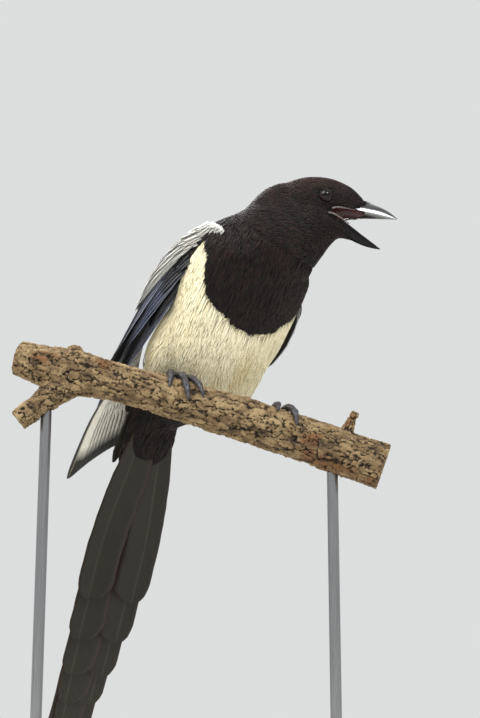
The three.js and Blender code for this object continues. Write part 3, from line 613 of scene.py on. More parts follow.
def feather(sheaf, surface, width, length, marks, cell, rng, rows=13, columns=7, root=0.4, full=0.3,
            tip=0.14, thick=0.16, camber=0.0, ragged=0.06, webs=(1, 1)):
    """One vane over `surface(t, across)`; marks hold its kind and code, cell its place on the bake map.

    The two webs on either side of the shaft are `webs` times half the width.
    """
    turn = np.linspace(0, np.pi / 2, 6)[1:]
    t = np.concatenate([np.linspace(0, 1 - tip, rows - 5), 1 - tip + tip * np.sin(turn)])
    swell = root + (1 - root) * ease(t, 0, full)
    rounded = np.where(t > 1 - tip, np.sqrt(np.maximum(1 - 0.985 * ((t - 1 + tip) / tip) ** 2, 0)), 1)
    c = np.linspace(-1, 1, columns)
    worn = webs * (1 - ragged * rng.random((rows, 2)) * ease(t, 0.1, 0.5)[:, None])
    half = width / 2 * swell * rounded
    across = c * half[:, None] * np.where(c < 0, worn[:, :1], worn[:, 1:])
    at, up = surface(np.repeat(t[:, None], columns, 1), across)
    arch = (1 - c**2) * camber * (half / (width / 2))[:, None]
    deep = thick / 2 * (1 - c**4)
    top = at + up * (arch + deep)[..., None]
    bottom = (at + up * (arch - deep)[..., None])[1:-1, 1:-1]
    upper, lower = smooth_grid(rows, columns)
    points = np.concatenate([top.reshape(-1, 3), bottom.reshape(-1, 3)])
    first = points[upper[len(upper) // 2]]
    if np.cross(first[1] - first[0], first[3] - first[0]) @ up[rows // 2, columns // 2] < 0:
        upper, lower = upper[:, ::-1], lower[:, ::-1]
    inner = lambda a: np.concatenate([a.reshape(-1, a.shape[-1]), a[1:-1, 1:-1].reshape(-1, a.shape[-1])])
    plan = np.stack([np.broadcast_to((c + 1) / 2, (rows, columns)), np.repeat(t[:, None], columns, 1)], -1)
    values = np.empty((rows, columns, 4))
    values[..., :2] = plan
    values[..., 2:] = marks
    u, v, size = cell
    bake = inner(plan * (0.46, 0.94) * size + (u, v))
    vane = inner(np.stack([across, plan[..., 1] * length], -1) / 100)
    quads = np.concatenate([upper, lower])
    under = np.repeat([0, 1], [len(upper), len(lower)])
    none = np.empty((0, 3), int)
    sheaf.add(points, quads, none, inner(values), bake, vane, (under, none[:, 0]), size / 2)


def cells_for(count):
    """Square cells of the bake map, one for each feather."""
    side = math.ceil(math.sqrt(count))
    return [((k % side + 0.02) / side, (k // side + 0.02) / side, 0.96 / side) for k in range(count)]


# Wings and tail

WINGS = {
    "right": (-1, [(45, -34, -9), (8, -48, -7), (-37, -60, -2), (-86, -73, 6), (-142, -73, 13)],
              [(44, -12, 20), (10, -30, 26), (-38, -38, 25), (-86, -38, 23), (-136, -41, 21)]),
    "left": (1, [(44, 35, -10), (8, 54.5, -13), (-36, 52, -7), (-86, 23, 17), (-136, 1, 25)],
             [(44, 12, 21), (8, 27, 27), (-38, 22, 32), (-88, 1, 34), (-136, -10, 31)]),
}
TAIL_LENGTH = 246


class WingSheet:
    """A folded wing as a sheet: u runs from wrist to tip, v from its lower to its upper edge."""

    def __init__(self, side, lower, upper):
        self.side, self.lower, self.upper = side, lower, upper

    def spot(self, u, v):
        end = np.clip(u, 0, 1)
        low = curve(self.lower, end)
        chord = curve(self.upper, end) - low
        along = heading(self.lower, end)
        out = unit(np.cross(along, chord)) * self.side
        bulge = 5 * 4 * v * (1 - v) * (1 - 0.8 * end)
        return low + along * ((u - end) * WING_REACH)[..., None] + chord * v[..., None] + out * bulge[..., None]

    def chord(self, u):
        end = np.clip(u, 0, 1)
        return np.linalg.norm(curve(self.upper, end) - curve(self.lower, end), axis=-1)

    def place(self, u, v, lift):
        """Points `lift` off the outer face, and the way that face looks there."""
        u, v, lift = np.broadcast_arrays(np.asarray(u, float), np.asarray(v, float), np.asarray(lift, float))
        e = 1e-3
        up = np.cross(self.spot(u + e, v) - self.spot(u - e, v), self.spot(u, v + e) - self.spot(u, v - e))
        up = unit(up) * self.side
        return out_of(BODY, self.spot(u, v) + up * lift[..., None]), up @ BODY[:3, :3].T

    def laid(self, start, end, width, shingle=0.0):
        """The surface of a feather from one (u, v, lift) to another, its lower edge raised by `shingle`."""

        def surface(t, across):
            u, v, lift = (blend(a, b, t) for a, b in zip(start, end))
            return self.place(u, v + across / self.chord(u), lift - 2 * shingle * across / width)

        return surface


def arm_face(v):
    """How far off the sheet the arm's outer face stands at v."""
    return blend(-2.2, 3.4, v)


def arm_form(sheet):
    """The arm under the coverts, as rings."""
    rows = [
        (-0.02, (0.3, 0.45, 0.6, 0.72), -2.5, 4), (0.02, (0.14, 0.4, 0.68, 0.9), -0.4, 8),
        (0.12, (0.06, 0.36, 0.68, 0.97), 0, 9.4), (0.29, (0.04, 0.35, 0.66, 0.95), 0, 9.8),
        (0.36, (0.07, 0.35, 0.64, 0.9), -1, 8), (0.42, (0.1, 0.36, 0.62, 0.86), -3, 4),
    ]
    rings = []
    for u, shares, out, deep in rows:
        v = np.array(shares)
        v[0] += 0.08
        face = arm_face(v) + out - 0.9
        back = np.minimum(face - 1.2, -deep * (1 - 0.4 * v))
        rings.append(np.concatenate([sheet.place(u, v, face)[0], sheet.place(u, v[::-1], back[::-1])[0]]))
    return np.array(rings)


# Kinds of vane, kept in the marks: how the vane is coloured
DARK, BLUE, WHITE_WEB, WHITE = 0.0, 0.33, 0.66, 1.0


def wing_feathers(sheet, primaries, secondaries, rng):
    """Every dark feather of a folded wing: flight feathers from the lowest up, then rows of coverts."""
    lowest = arm_face(0.9) - 1.6 - 9 * 0.95
    total = primaries + secondaries
    plans = []
    for i in range(primaries):
        k = 5 * i / (primaries - 1)
        lift = lowest + 9 * 0.95 * i / (total - 1)
        start, end = (0.27, 0.13 + 0.07 * k, lift), (1 - 0.016 * k, 0.24 + 0.18 * k, lift)
        look = dict(rows=20, columns=9, tip=0.1, ragged=0.05, webs=(0.5, 1.45))
        plans.append((start, end, 14.5 + 0.3 * k, WHITE_WEB, look))
    for i in range(secondaries):
        k = 3 * i / (secondaries - 1)
        lift = lowest + 9 * 0.95 * (primaries + i) / (total - 1)
        start, end = (0.27, 0.5 + 0.12 * k, lift), (0.78 - 0.06 * k, 0.52 + 0.14 * k, lift + 0.5 * k * k)
        plans.append((start, end, 16, BLUE, dict(rows=18, columns=9, tip=0.1, ragged=0.05, webs=(0.7, 1.3))))
    for i in range(6):
        start, end = (0.2, 0.48 + 0.09 * i, arm_face(0.8) + 0.4 * i), (
            0.66 - 0.035 * i, 0.48 + 0.1 * i, arm_face(0.8) + 2 + 0.7 * i
        )
        look = dict(rows=18, columns=9, tip=0.16, ragged=0.05, camber=0.5, shingle=0.6, webs=(0.8, 1.2))
        plans.append((start, end, 15, BLUE, look))
    rows = [(0.2, 0.5, 1.2, 9, 0.9, 0.93), (0.13, 0.38, 2.0, 8, 0.9, 0.8), (0.06, 0.27, 2.8, 7, 0.95, 0.64),
            (0.0, 0.17, 3.2, 6, 1.0, 0.52), (-0.05, 0.09, 3.4, 5, 1.0, 0.42)]
    for row, (start_u, end_u, rise, count, spread, top) in enumerate(rows):
        for i in range(count):
            v = blend(0.13, top, i / (count - 1)) * spread + 0.5 * (1 - spread)
            wide = (top - 0.13) / (count - 1) * sheet.chord(end_u) * 1.75
            end = end_u + 0.015 * math.sin(5 * i + row) + 0.04 * v
            start = (start_u, v, arm_face(v) - 0.6)
            kind = BLUE if row < 2 else DARK
            look = dict(rows=12, columns=5, tip=0.3, camber=0.5, shingle=0.5, root=0.6, ragged=0.12)
            plans.append((start, (end, v + 0.02, arm_face(v) + rise), float(wide), kind, look))
    sheaf = Sheaf()
    for (start, end, width, kind, look), cell in zip(plans, cells_for(len(plans))):
        surface = sheet.laid(start, end, width, look.pop("shingle", 0.0))
        feather(sheaf, surface, width, (end[0] - start[0]) * WING_REACH, (rng.random(), kind), cell, rng, **look)
    return sheaf


def shoulder_lift(u, v):
    """How far off the sheet the white shoulder feathers stand: low at the front and over the coverts."""
    swell = np.interp(u, [-0.08, -0.03, 0.02, 0.06, 0.13, 0.3, 0.42], [5.0, 5.5, 6.0, 6.6, 7.0, 6.4, 4.6])
    return arm_face(v) + 2.6 + swell * ease(v, 0.2 - 0.5 * ease(u, 0.03, -0.08), 0.7 - 0.6 * ease(u, 0.03, -0.08))


def shoulder_form(sheet):
    """The white down that fills the shoulder under its feathers, as rings."""
    rows = [
        (-0.055, (-0.08, 0.0, 0.08, 0.14), 0.8), (-0.02, (0.06, 0.2, 0.36, 0.5), 1.4),
        (0.05, (0.34, 0.5, 0.68, 0.84), 2.5), (0.13, (0.44, 0.62, 0.8, 0.98), 3), (0.25, (0.5, 0.66, 0.8, 0.94), 3),
        (0.35, (0.58, 0.68, 0.78, 0.88), 2), (0.39, (0.66, 0.7, 0.74, 0.78), 0.8),
    ]
    rings = []
    for u, shares, deep in rows:
        v = np.array(shares)
        face = shoulder_lift(u, v) - 1.3
        rings.append(np.concatenate([sheet.place(u, v, face)[0], sheet.place(u, v[::-1], (face - deep)[::-1])[0]]))
    return np.array(rings)


def scapular_feathers(sheet, rng):
    """White feathers from the shoulder over the wing's upper edge, from the hindmost row to the foremost."""
    plans = []
    for root_low, root_high, tip_low, tip_high, rise, count, wide in [
        ((0.22, 0.62), (0.22, 0.98), (0.41, 0.68), (0.42, 0.9), -1.2, 6, 9), (
            (0.17, 0.57), (0.17, 1.02), (0.37, 0.62), (0.38, 0.94), -0.9, 7, 10
        ),
        (
            (0.12, 0.52), (0.12, 1.04), (0.32, 0.57), (0.33, 0.98), -0.6, 7, 10
        ), ((0.07, 0.46), (0.08, 1.0), (0.26, 0.52), (0.27, 1.02), -0.3, 8, 10),
        ((0.03, 0.4), (0.05, 0.86), (0.2, 0.48), (0.21, 1.02), 0, 8, 10), (
            (0.0, 0.28), (0.02, 0.68), (0.14, 0.44), (0.15, 0.98), 0.2, 7, 9
        ),
        ((-0.03, 0.12), (-0.01, 0.5), (0.08, 0.36), (0.1, 0.84), 0.3, 8, 10), (
            (-0.05, 0.04), (-0.035, 0.34), (0.03, 0.22), (0.05, 0.62), 0.3, 7, 9.5
        ),
        ((-0.065, -0.04), (-0.05, 0.16), (-0.01, 0.08), (0.01, 0.4), 0.2, 6, 8.5),
    ]:
        for i in range(count):
            share = i / (count - 1)
            u, v = blend(np.array(root_low), np.array(root_high), share)
            reach, last = blend(np.array(tip_low), np.array(tip_high), share) + rng.uniform(-0.02, 0.02, 2)
            ends = (u, v, shoulder_lift(u, v) - 1.6 + rise), (reach, last, shoulder_lift(reach, last) + rise)
            plans.append((*ends, wide * rng.uniform(1.05, 1.25)))
    sheaf = Sheaf()
    for (start, end, width), cell in zip(plans, cells_for(len(plans))):
        look = dict(rows=14, columns=7, tip=0.42, camber=0.1, root=0.7, ragged=0.05)
        surface = sheet.laid(start, end, width, 0.1)
        feather(sheaf, surface, width, (end[0] - start[0]) * WING_REACH, (rng.random(), WHITE), cell, rng, **look)
    return sheaf


def tail_feathers(rng):
    """Twelve long feathers, the middle pair on top, and the small ones over their roots."""
    up = TAIL[:3, 2]
    plans = []
    for pair in range(5, -1, -1):
        for side in (-1, 1):
            length = TAIL_LENGTH * (1 - 0.04 * pair - 0.0095 * pair * pair)
            width = 24 + 0.3 * pair
            layer = -0.82 * (2 * pair + (0 if side > 0 else 1))

            def surface(t, across, length=length, side=side, pair=pair, layer=layer):
                down = length * t / TAIL_LENGTH
                middle = side * blend(1.6 + 1.2 * pair, 5 + 2.4 * pair, ease(down, 0, 0.45))
                local = np.stack([-length * t, middle + across, layer - 5 * t * t], -1)
                return out_of(TAIL, local), np.broadcast_to(up, local.shape)

            # The web towards the middle of the tail is the wider one
            webs = (0.55 + 0.06 * pair, 1.35) if side < 0 else (1.35, 0.55 + 0.06 * pair)
            if pair == 0:
                webs = (1, 1)
            look = dict(
                rows=26, columns=9, root=0.5, full=0.42, tip=0.55 * width / length, camber=0.6, ragged=0.06, webs=webs
            )
            plans.append((surface, width, length, DARK, look))
    for row, (start, reach) in enumerate([(0, 46), (-8, 34), (-14, 24)]):
        for i in range(7):
            y = blend(-13, 13, (i + 0.5 * (row % 2)) / 6.5)

            def surface(t, across, y=y, start=start, reach=reach, row=row):
                x = start + reach * t
                rise = blend(-1.4, 1.2 + 0.3 * row, t) - 0.004 * y * y + 0.08 * across
                local = np.stack([-x, y * (1 + 0.35 * t) + across, 3.2 + rise - 5 * (x / TAIL_LENGTH) ** 2], -1)
                return out_of(TAIL, local), np.broadcast_to(up, local.shape)

            look = dict(rows=11, columns=5, root=0.6, tip=0.4, camber=0.6, ragged=0.15)
            plans.append((surface, 9, reach, DARK, look))
    sheaf = Sheaf()
    for (surface, width, length, kind, look), cell in zip(plans, cells_for(len(plans))):
        feather(sheaf, surface, width, length, (rng.random(), kind), cell, rng, **look)
    return sheaf


# Settings that a user would change


def colour(name, description, code):
    return FloatVectorProperty(
        name=name, description=description, subtype="COLOR", size=3, min=0, max=1, default=linear(code)
    )


def length(name, description, default, low=0.0, high=1.0):
    return FloatProperty(name=name, description=description, unit="LENGTH", default=default, min=low, max=high)


class PlumageSettings(PropertyGroup):
    """Body feathers."""

    density: FloatProperty(
        name="Density", description="Strands to the square millimetre on the belly", default=0.62, min=0.05, max=2
    )
    fullness: FloatProperty(
        name="Fullness", description="Length of the strands against the bird's own", subtype="FACTOR", default=1,
        min=0.3, max=1.5
    )
    voxel: length("Skin mesh", "Spacing of the skin's mesh", 0.0012, 0.0005, 0.004)
    seed: IntProperty(name="Seed", description="Picks another random lie of the feathers", default=7, min=0)
    black: colour("Black", "Head, breast and back", "0b0809")
    brown: colour("Brown light", "Where light warms the black on the nape", "301a14")
    cream: colour("Cream", "Belly and flanks", "fdf5d6")
    # Ochre is random streaking, and painted shade on the underside between the legs
    ochre: colour("Ochre", "Streaks between the belly feathers", "dcc58a")
    white: colour("White", "Shoulder feathers", "f6f4ee")


class FlightSettings(PropertyGroup):
    """Wings and tail."""

    primaries: IntProperty(name="Primaries", description="Long outer feathers of each wing", default=10, min=4, max=12)
    secondaries: IntProperty(
        name="Secondaries", description="Inner flight feathers of each wing", default=8, min=3, max=12
    )
    blue: colour("Blue", "Gloss of the inner wing", "172750")
    dark: colour("Black vane", "Outer vanes and small feathers", "14141b")
    green: colour("Tail top", "Upper side of the tail", "16211f")
    dull: colour("Underside", "Dull lower side of wing and tail", "2a281f")
    # The pale edge is a painted highlight along the wing feathers' rims
    edge: colour("Pale edge", "Thin pale rims of the wing feathers", "c9cbd2")


class HeadSettings(PropertyGroup):
    """Bill, mouth and eyes."""

    horn: colour("Horn", "Bill", "151217")
    lining: colour("Mouth", "Lining of the open bill", "470d0b")
    gape: colour("Gape", "Skin at the corners of the mouth", "756b66")
    iris: colour("Iris", "Eye round the pupil", "1d0f0b")


class PerchSettings(PropertyGroup):
    """Branch and stand."""

    plate: length("Bark plate", "Width of a flake of bark", 0.0038, 0.002, 0.02)
    relief: length("Relief", "Depth of the cracks between flakes", 0.0021, 0, 0.005)
    pale: colour("Pale bark", "Weathered face of the flakes", "7d674a")
    grey: colour("Grey bark", "Older flakes", "3f342a")
    rust: colour("Rust bark", "Freshly shed spots", "6f4528")
    # The crack colour is painted shade in the gaps between flakes
    crack: colour("Crack", "Between the flakes", "1c140e")
    wood: colour("Stand wood", "Stained base", "2e2018")
    steel: colour("Rod steel", "Stand rods", "9d9d9f")


class StageSettings(PropertyGroup):
    """Floor, light and camera."""

    floor: colour("Floor", "Plain pale floor", "d8d8d4")
    key: FloatProperty(name="Key light", description="Power of the main light in watts", default=24, min=0, max=1000)
    fill: FloatProperty(name="Fill light", description="Power of the front light in watts", default=11, min=0, max=1000)
    air: FloatProperty(name="Air", description="Strength of the light from all round", default=0.84, min=0, max=5)


# Materials


def add(tree, kind, inputs=None, stops=None, **settings):
    """A shader node with its settings; an input takes a number, a colour or another node's output."""
    node = tree.nodes.new(kind)
    for key, value in settings.items():
        setattr(node, key, value)
    for key, value in (inputs or {}).items():
        if isinstance(value, bpy.types.NodeSocket):
            tree.links.new(value, node.inputs[key])
        else:
            node.inputs[key].default_value = value
    if stops:
        ramp = node.color_ramp
        while len(ramp.elements) < len(stops):
            ramp.elements.new(0.5)
        for element, (position, shade) in zip(ramp.elements, stops):
            element.position = position
            element.color = (*shade, 1) if hasattr(shade, "__len__") else (shade, shade, shade, 1)
    return node


def new_material(name):
    """A material of this name without its nodes, its tree and a new output."""
    material = bpy.data.materials.get(name) or bpy.data.materials.new(name)
    material.use_nodes = True
    tree = material.node_tree
    tree.nodes.clear()
    return material, tree, add(tree, "ShaderNodeOutputMaterial")


def rgba(shade):
    return (*tuple(shade)[:3], 1.0)


def plumage_material(settings):
    """Contour feathers: soft keratin barbs, nearly matt, with a faint sheen that softens the outline."""
    material, tree, out = new_material("Contour feathers, soft barbs")
    marks = add(tree, "ShaderNodeAttribute", attribute_name="marks")
    split = add(tree, "ShaderNodeSeparateColor", {0: marks.outputs["Color"]})
    pale, along, code = split.outputs
    place = add(tree, "ShaderNodeTexCoord").outputs["Object"]
    fleck = add(tree, "ShaderNodeTexNoise", {"Vector": place, "Scale": 420.0, "Detail": 3.0}).outputs["Fac"]
    # Each strand is a little lighter or darker than the next, and its tip is worn paler
    swing = add(tree, "ShaderNodeMapRange", {"Value": pale, "To Min": 0.8, "To Max": 0.3}).outputs[0]
    shift = add(tree, "ShaderNodeMath", {0: code, 1: 0.5}, operation="SUBTRACT").outputs[0]
    shift = add(tree, "ShaderNodeMath", {0: shift, 1: swing}, operation="MULTIPLY").outputs[0]
    warm = add(
        tree, "ShaderNodeMath", {0: marks.outputs["Alpha"], 1: shift}, operation="ADD", use_clamp=True
    ).outputs[0]
    # The tone mixes black towards brown, a painted highlight on the nape, and cream towards ochre, random streaks with
    # painted shade between the legs
    dark = add(
        tree, "ShaderNodeMix", {0: warm, 6: rgba(settings.black), 7: rgba(settings.brown)}, data_type="RGBA"
    ).outputs[2]
    light = add(
        tree, "ShaderNodeMix", {0: warm, 6: rgba(settings.cream), 7: rgba(settings.ochre)}, data_type="RGBA"
    ).outputs[2]
    both = add(tree, "ShaderNodeMix", {0: pale, 6: dark, 7: light}, data_type="RGBA").outputs[2]
    tip = add(tree, "ShaderNodeMath", {0: along, 1: 0.12, 2: 0.95}, operation="MULTIPLY_ADD").outputs[0]
    grain = add(tree, "ShaderNodeMath", {0: fleck, 1: 0.25, 2: 0.88}, operation="MULTIPLY_ADD").outputs[0]
    gain = add(tree, "ShaderNodeMath", {0: tip, 1: grain}, operation="MULTIPLY").outputs[0]
    tint = add(tree, "ShaderNodeVectorMath", {0: both, "Scale": gain}, operation="SCALE").outputs[0]
    rough = add(tree, "ShaderNodeMapRange", {"Value": pale, "To Min": 0.5, "To Max": 0.85}).outputs[0]
    bump = add(tree, "ShaderNodeBump", {"Strength": 0.25, "Distance": 0.0002, "Height": fleck}).outputs[0]
    skin = add(tree, "ShaderNodeBsdfPrincipled", {
        "Base Color": tint, "Roughness": rough, "IOR": 1.54, "Specular IOR Level": 0.16,
        "Sheen Weight": 0.04, "Sheen Roughness": 0.4, "Sheen Tint": (0.75, 0.62, 0.6, 1), "Normal": bump,
    })
    tree.links.new(skin.outputs[0], out.inputs[0])
    return material


def mouth_material(settings):
    """Moist mouth lining: red flesh with a wet shine."""
    material, tree, out = new_material("Moist mouth lining")
    place = add(tree, "ShaderNodeTexCoord").outputs["Object"]
    folds = add(tree, "ShaderNodeTexNoise", {"Vector": place, "Scale": 500.0, "Detail": 3.0}).outputs["Fac"]
    dark = tuple(c * 0.3 for c in settings.lining)
    tint = add(
        tree, "ShaderNodeValToRGB", {"Fac": folds}, stops=[(0.3, dark), (0.75, tuple(settings.lining))]
    ).outputs[0]
    bump = add(tree, "ShaderNodeBump", {"Strength": 0.4, "Distance": 0.0003, "Height": folds}).outputs[0]
    flesh_shader = add(tree, "ShaderNodeBsdfPrincipled", {
        "Base Color": tint, "Roughness": 0.55, "IOR": 1.38, "Specular IOR Level": 0.15, "Subsurface Weight": 0.05,
        "Subsurface Radius": (0.002, 0.0006, 0.0004), "Coat Weight": 0.08, "Coat Roughness": 0.2, "Normal": bump,
    })
    tree.links.new(flesh_shader.outputs[0], out.inputs[0])
    return material


def vane_material(settings, underside=False, tail=False):
    """Flight-feather vanes: hooked barbs that lie flat as a smooth sheet, so they gloss along the barbs."""
    part = "tail" if tail else "wing"
    side = "underside" if underside else "upper side"
    material, tree, out = new_material(f"Flight feather vane, {part} {side}")
    marks = add(tree, "ShaderNodeAttribute", attribute_name="marks")
    across, along, code = add(tree, "ShaderNodeSeparateColor", {0: marks.outputs["Color"]}).outputs
    kind = marks.outputs["Alpha"]
    plan = add(tree, "ShaderNodeSeparateXYZ", {0: add(tree, "ShaderNodeUVMap", uv_map="Vane").outputs[0]}).outputs
    # Barbs leave the shaft at a slant; 0.9 mm apart, coarser than real ones so that they show
    off = add(tree, "ShaderNodeMath", {0: plan[0]}, operation="ABSOLUTE").outputs[0]
    slant = add(tree, "ShaderNodeMath", {0: off, 1: -1.1, 2: plan[1]}, operation="MULTIPLY_ADD").outputs[0]
    jitter = add(
        tree, "ShaderNodeTexNoise",
        {"Vector": add(tree, "ShaderNodeTexCoord").outputs["Object"], "Scale": 160.0, "Detail": 2.0}
    ).outputs["Fac"]
    bent = add(tree, "ShaderNodeMath", {0: jitter, 1: 0.012, 2: slant}, operation="MULTIPLY_ADD").outputs[0]
    line = add(tree, "ShaderNodeMath", {0: bent, 1: 2 * math.pi * 100 / 0.9}, operation="MULTIPLY").outputs[0]
    barbs = add(tree, "ShaderNodeMath", {0: line}, operation="SINE").outputs[0]
    bands = add(
        tree, "ShaderNodeTexNoise",
        {"Vector": add(tree, "ShaderNodeCombineXYZ", {0: bent, 2: code}).outputs[0], "Scale": 55.0, "Detail": 2.0}
    ).outputs["Fac"]
    shaft = add(
        tree, "ShaderNodeValToRGB", {"Fac": across}, stops=[(0.455, 0.0), (0.485, 1.0), (0.515, 1.0), (0.545, 0.0)]
    ).outputs[0]
    # Painted highlight: pale rims along the outer edge of the blue and white-webbed feathers
    rim = add(tree, "ShaderNodeValToRGB", {"Fac": across}, stops=[(0.04, 1.0), (0.09, 0.0)]).outputs[0]
    dark = rgba(settings.dull if underside else settings.green if tail else settings.dark)
    gloss = rgba(settings.dull if underside else settings.green if tail else settings.blue)
    blue_share = add(tree, "ShaderNodeValToRGB", {"Fac": kind}, stops=[(0.1, 0.0), (0.25, 1.0)]).outputs[0]
    tint = add(tree, "ShaderNodeMix", {0: blue_share, 6: dark, 7: gloss}, data_type="RGBA").outputs[2]
    if tail:
        # The vane's margins let some red-brown light through
        margin = add(
            tree, "ShaderNodeValToRGB", {"Fac": across}, stops=[(0.0, 1.0), (0.06, 0.0), (0.94, 0.0), (1.0, 1.0)]
        ).outputs[0]
        warm = rgba(linear("4b3027" if underside else "2c2723"))
        tint = add(tree, "ShaderNodeMix", {0: margin, 6: tint, 7: warm}, data_type="RGBA").outputs[2]
    else:
        # Primaries have a white inner web with a dark margin and tip
        web = add(tree, "ShaderNodeValToRGB", {"Fac": across}, stops=[(0.42, 0.0), (0.46, 1.0)]).outputs[0]
        near = add(tree, "ShaderNodeValToRGB", {"Fac": along}, stops=[(0.85, 1.0), (0.92, 0.0)]).outputs[0]
        primary = add(tree, "ShaderNodeValToRGB", {"Fac": kind}, stops=[(0.5, 0.0), (0.6, 1.0)]).outputs[0]
        patch = add(tree, "ShaderNodeMath", {0: web, 1: near}, operation="MULTIPLY").outputs[0]
        patch = add(tree, "ShaderNodeMath", {0: patch, 1: primary}, operation="MULTIPLY").outputs[0]
        tint = add(tree, "ShaderNodeMix", {0: patch, 6: tint, 7: rgba(linear("f0ecdf"))}, data_type="RGBA").outputs[2]
        # The pale rim is a painted highlight on the feather's edge
        pale = add(tree, "ShaderNodeMath", {0: rim, 1: blue_share}, operation="MULTIPLY").outputs[0]
        tint = add(tree, "ShaderNodeMix", {0: pale, 6: tint, 7: rgba(settings.edge)}, data_type="RGBA").outputs[2]
    shade = add(tree, "ShaderNodeMath", {0: bands, 1: 0.7, 2: 0.65}, operation="MULTIPLY_ADD").outputs[0]
    tint = add(tree, "ShaderNodeVectorMath", {0: tint, "Scale": shade}, operation="SCALE").outputs[0]
    quill = rgba(linear("3a352c" if underside and tail else "8d8272" if underside else "0c0b0d"))
    tint = add(tree, "ShaderNodeMix", {0: shaft, 6: tint, 7: quill}, data_type="RGBA").outputs[2]
    raised = add(tree, "ShaderNodeMath", {0: shaft, 1: 3.0, 2: barbs}, operation="MULTIPLY_ADD").outputs[0]
    bump = add(tree, "ShaderNodeBump", {"Strength": 0.35, "Distance": 0.00018, "Height": raised}).outputs[0]
    shine = {
        "Roughness": 0.55, "Specular IOR Level": 0.25
    } if underside else {"Roughness": 0.34, "Specular IOR Level": 0.5}
    vane = add(tree, "ShaderNodeBsdfPrincipled", {
        "Base Color": tint, "IOR": 1.54, "Anisotropic": 0.4, "Normal": bump, **shine,
        "Sheen Weight": 0.04, "Sheen Roughness": 0.3, "Sheen Tint": (0.5, 0.6, 0.9, 1),
    })
    tree.links.new(vane.outputs[0], out.inputs[0])
    return material


def white_material(settings):
    """White shoulder feathers: pale keratin without pigment, which scatters light and looks soft."""
    material, tree, out = new_material("White contour feathers")
    plan = add(tree, "ShaderNodeSeparateXYZ", {0: add(tree, "ShaderNodeUVMap", uv_map="Vane").outputs[0]}).outputs
    off = add(tree, "ShaderNodeMath", {0: plan[0]}, operation="ABSOLUTE").outputs[0]
    slant = add(tree, "ShaderNodeMath", {0: off, 1: -1.3, 2: plan[1]}, operation="MULTIPLY_ADD").outputs[0]
    line = add(tree, "ShaderNodeMath", {0: slant, 1: 2 * math.pi * 100 / 0.8}, operation="MULTIPLY").outputs[0]
    barbs = add(tree, "ShaderNodeMath", {0: line}, operation="SINE").outputs[0]
    spread = add(
        tree, "ShaderNodeMapRange", {"Value": barbs, "From Min": -1.0, "To Min": 0.9, "To Max": 1.0}
    ).outputs[0]
    tint = add(
        tree, "ShaderNodeVectorMath", {0: rgba(settings.white)[:3], "Scale": spread}, operation="SCALE"
    ).outputs[0]
    bump = add(tree, "ShaderNodeBump", {"Strength": 0.3, "Distance": 0.00018, "Height": barbs}).outputs[0]
    web = add(tree, "ShaderNodeBsdfPrincipled", {
        "Base Color": tint, "Roughness": 0.7, "IOR": 1.54, "Sheen Weight": 0.15, "Sheen Roughness": 0.4, "Normal": bump,
        "Subsurface Weight": 0.6, "Subsurface Scale": 0.004, "Subsurface Radius": (1, 1, 1),
    })
    tree.links.new(web.outputs[0], out.inputs[0])
    return material


def horn_material(settings, name, gloss, coat):
    """Bill horn: dense keratin with fine growth lines along it, polished by wear on the upper half and duller below."""
    material, tree, out = new_material(name)
    place = add(tree, "ShaderNodeTexCoord").outputs["Object"]
    lined = add(
        tree, "ShaderNodeMapping",
        {"Vector": place, "Rotation": (0, math.radians(9), math.radians(-10)), "Scale": (60, 700, 700)}
    ).outputs[0]
    lines = add(tree, "ShaderNodeTexNoise", {"Vector": lined, "Scale": 1.0, "Detail": 4.0}).outputs["Fac"]
    dark = tuple(c * 0.55 for c in settings.horn)
    light = linear("2a262e")
    tint = add(
        tree, "ShaderNodeValToRGB", {"Fac": lines}, stops=[(0.35, dark), (0.6, tuple(settings.horn)), (0.85, light)]
    ).outputs[0]
    rough = add(tree, "ShaderNodeMapRange", {"Value": lines, "To Min": 0.17, "To Max": 0.27}).outputs[0]
    bump = add(tree, "ShaderNodeBump", {"Strength": 0.2, "Distance": 0.0002, "Height": lines}).outputs[0]
    horn = add(tree, "ShaderNodeBsdfPrincipled", {
        "Base Color": tint, "Roughness": rough, "IOR": 1.56, "Specular IOR Level": gloss, "Normal": bump,
        "Coat Weight": coat, "Coat Roughness": 0.13,
    })
    tree.links.new(horn.outputs[0], out.inputs[0])
    return material


def eye_material(settings):
    """Wet eye: a near-black brown iris round a black pupil, under a clear cornea that mirrors the light."""
    material, tree, out = new_material("Wet dark-brown eye")
    mark = add(tree, "ShaderNodeAttribute", attribute_name="marks").outputs["Fac"]
    iris = tuple(settings.iris)
    tint = add(
        tree, "ShaderNodeValToRGB", {"Fac": mark},
        stops=[(0.3, (0.002, 0.002, 0.002)), (0.36, iris), (0.7, iris), (0.85, (0.004, 0.003, 0.003))]
    ).outputs[0]
    ball = add(tree, "ShaderNodeBsdfPrincipled", {
        "Base Color": tint, "Roughness": 0.08, "IOR": 1.37, "Specular IOR Level": 0.3,
        "Coat Weight": 0.12, "Coat Roughness": 0.03,
    })
    tree.links.new(ball.outputs[0], out.inputs[0])
    return material


def lid_material():
    """Bare lid skin: dark grey and finely wrinkled."""
    material, tree, out = new_material("Bare eyelid skin")
    place = add(tree, "ShaderNodeTexCoord").outputs["Object"]
    folds = add(tree, "ShaderNodeTexVoronoi", {"Vector": place, "Scale": 1800.0}).outputs["Distance"]
    tint = add(
        tree, "ShaderNodeValToRGB", {"Fac": folds}, stops=[(0.1, linear("1a1617")), (0.7, linear("0a0809"))]
    ).outputs[0]
    bump = add(tree, "ShaderNodeBump", {"Strength": 0.4, "Distance": 0.0002, "Height": folds}).outputs[0]
    lid = add(
        tree, "ShaderNodeBsdfPrincipled",
        {"Base Color": tint, "Roughness": 0.6, "Specular IOR Level": 0.25, "Normal": bump}
    )
    tree.links.new(lid.outputs[0], out.inputs[0])
    return material


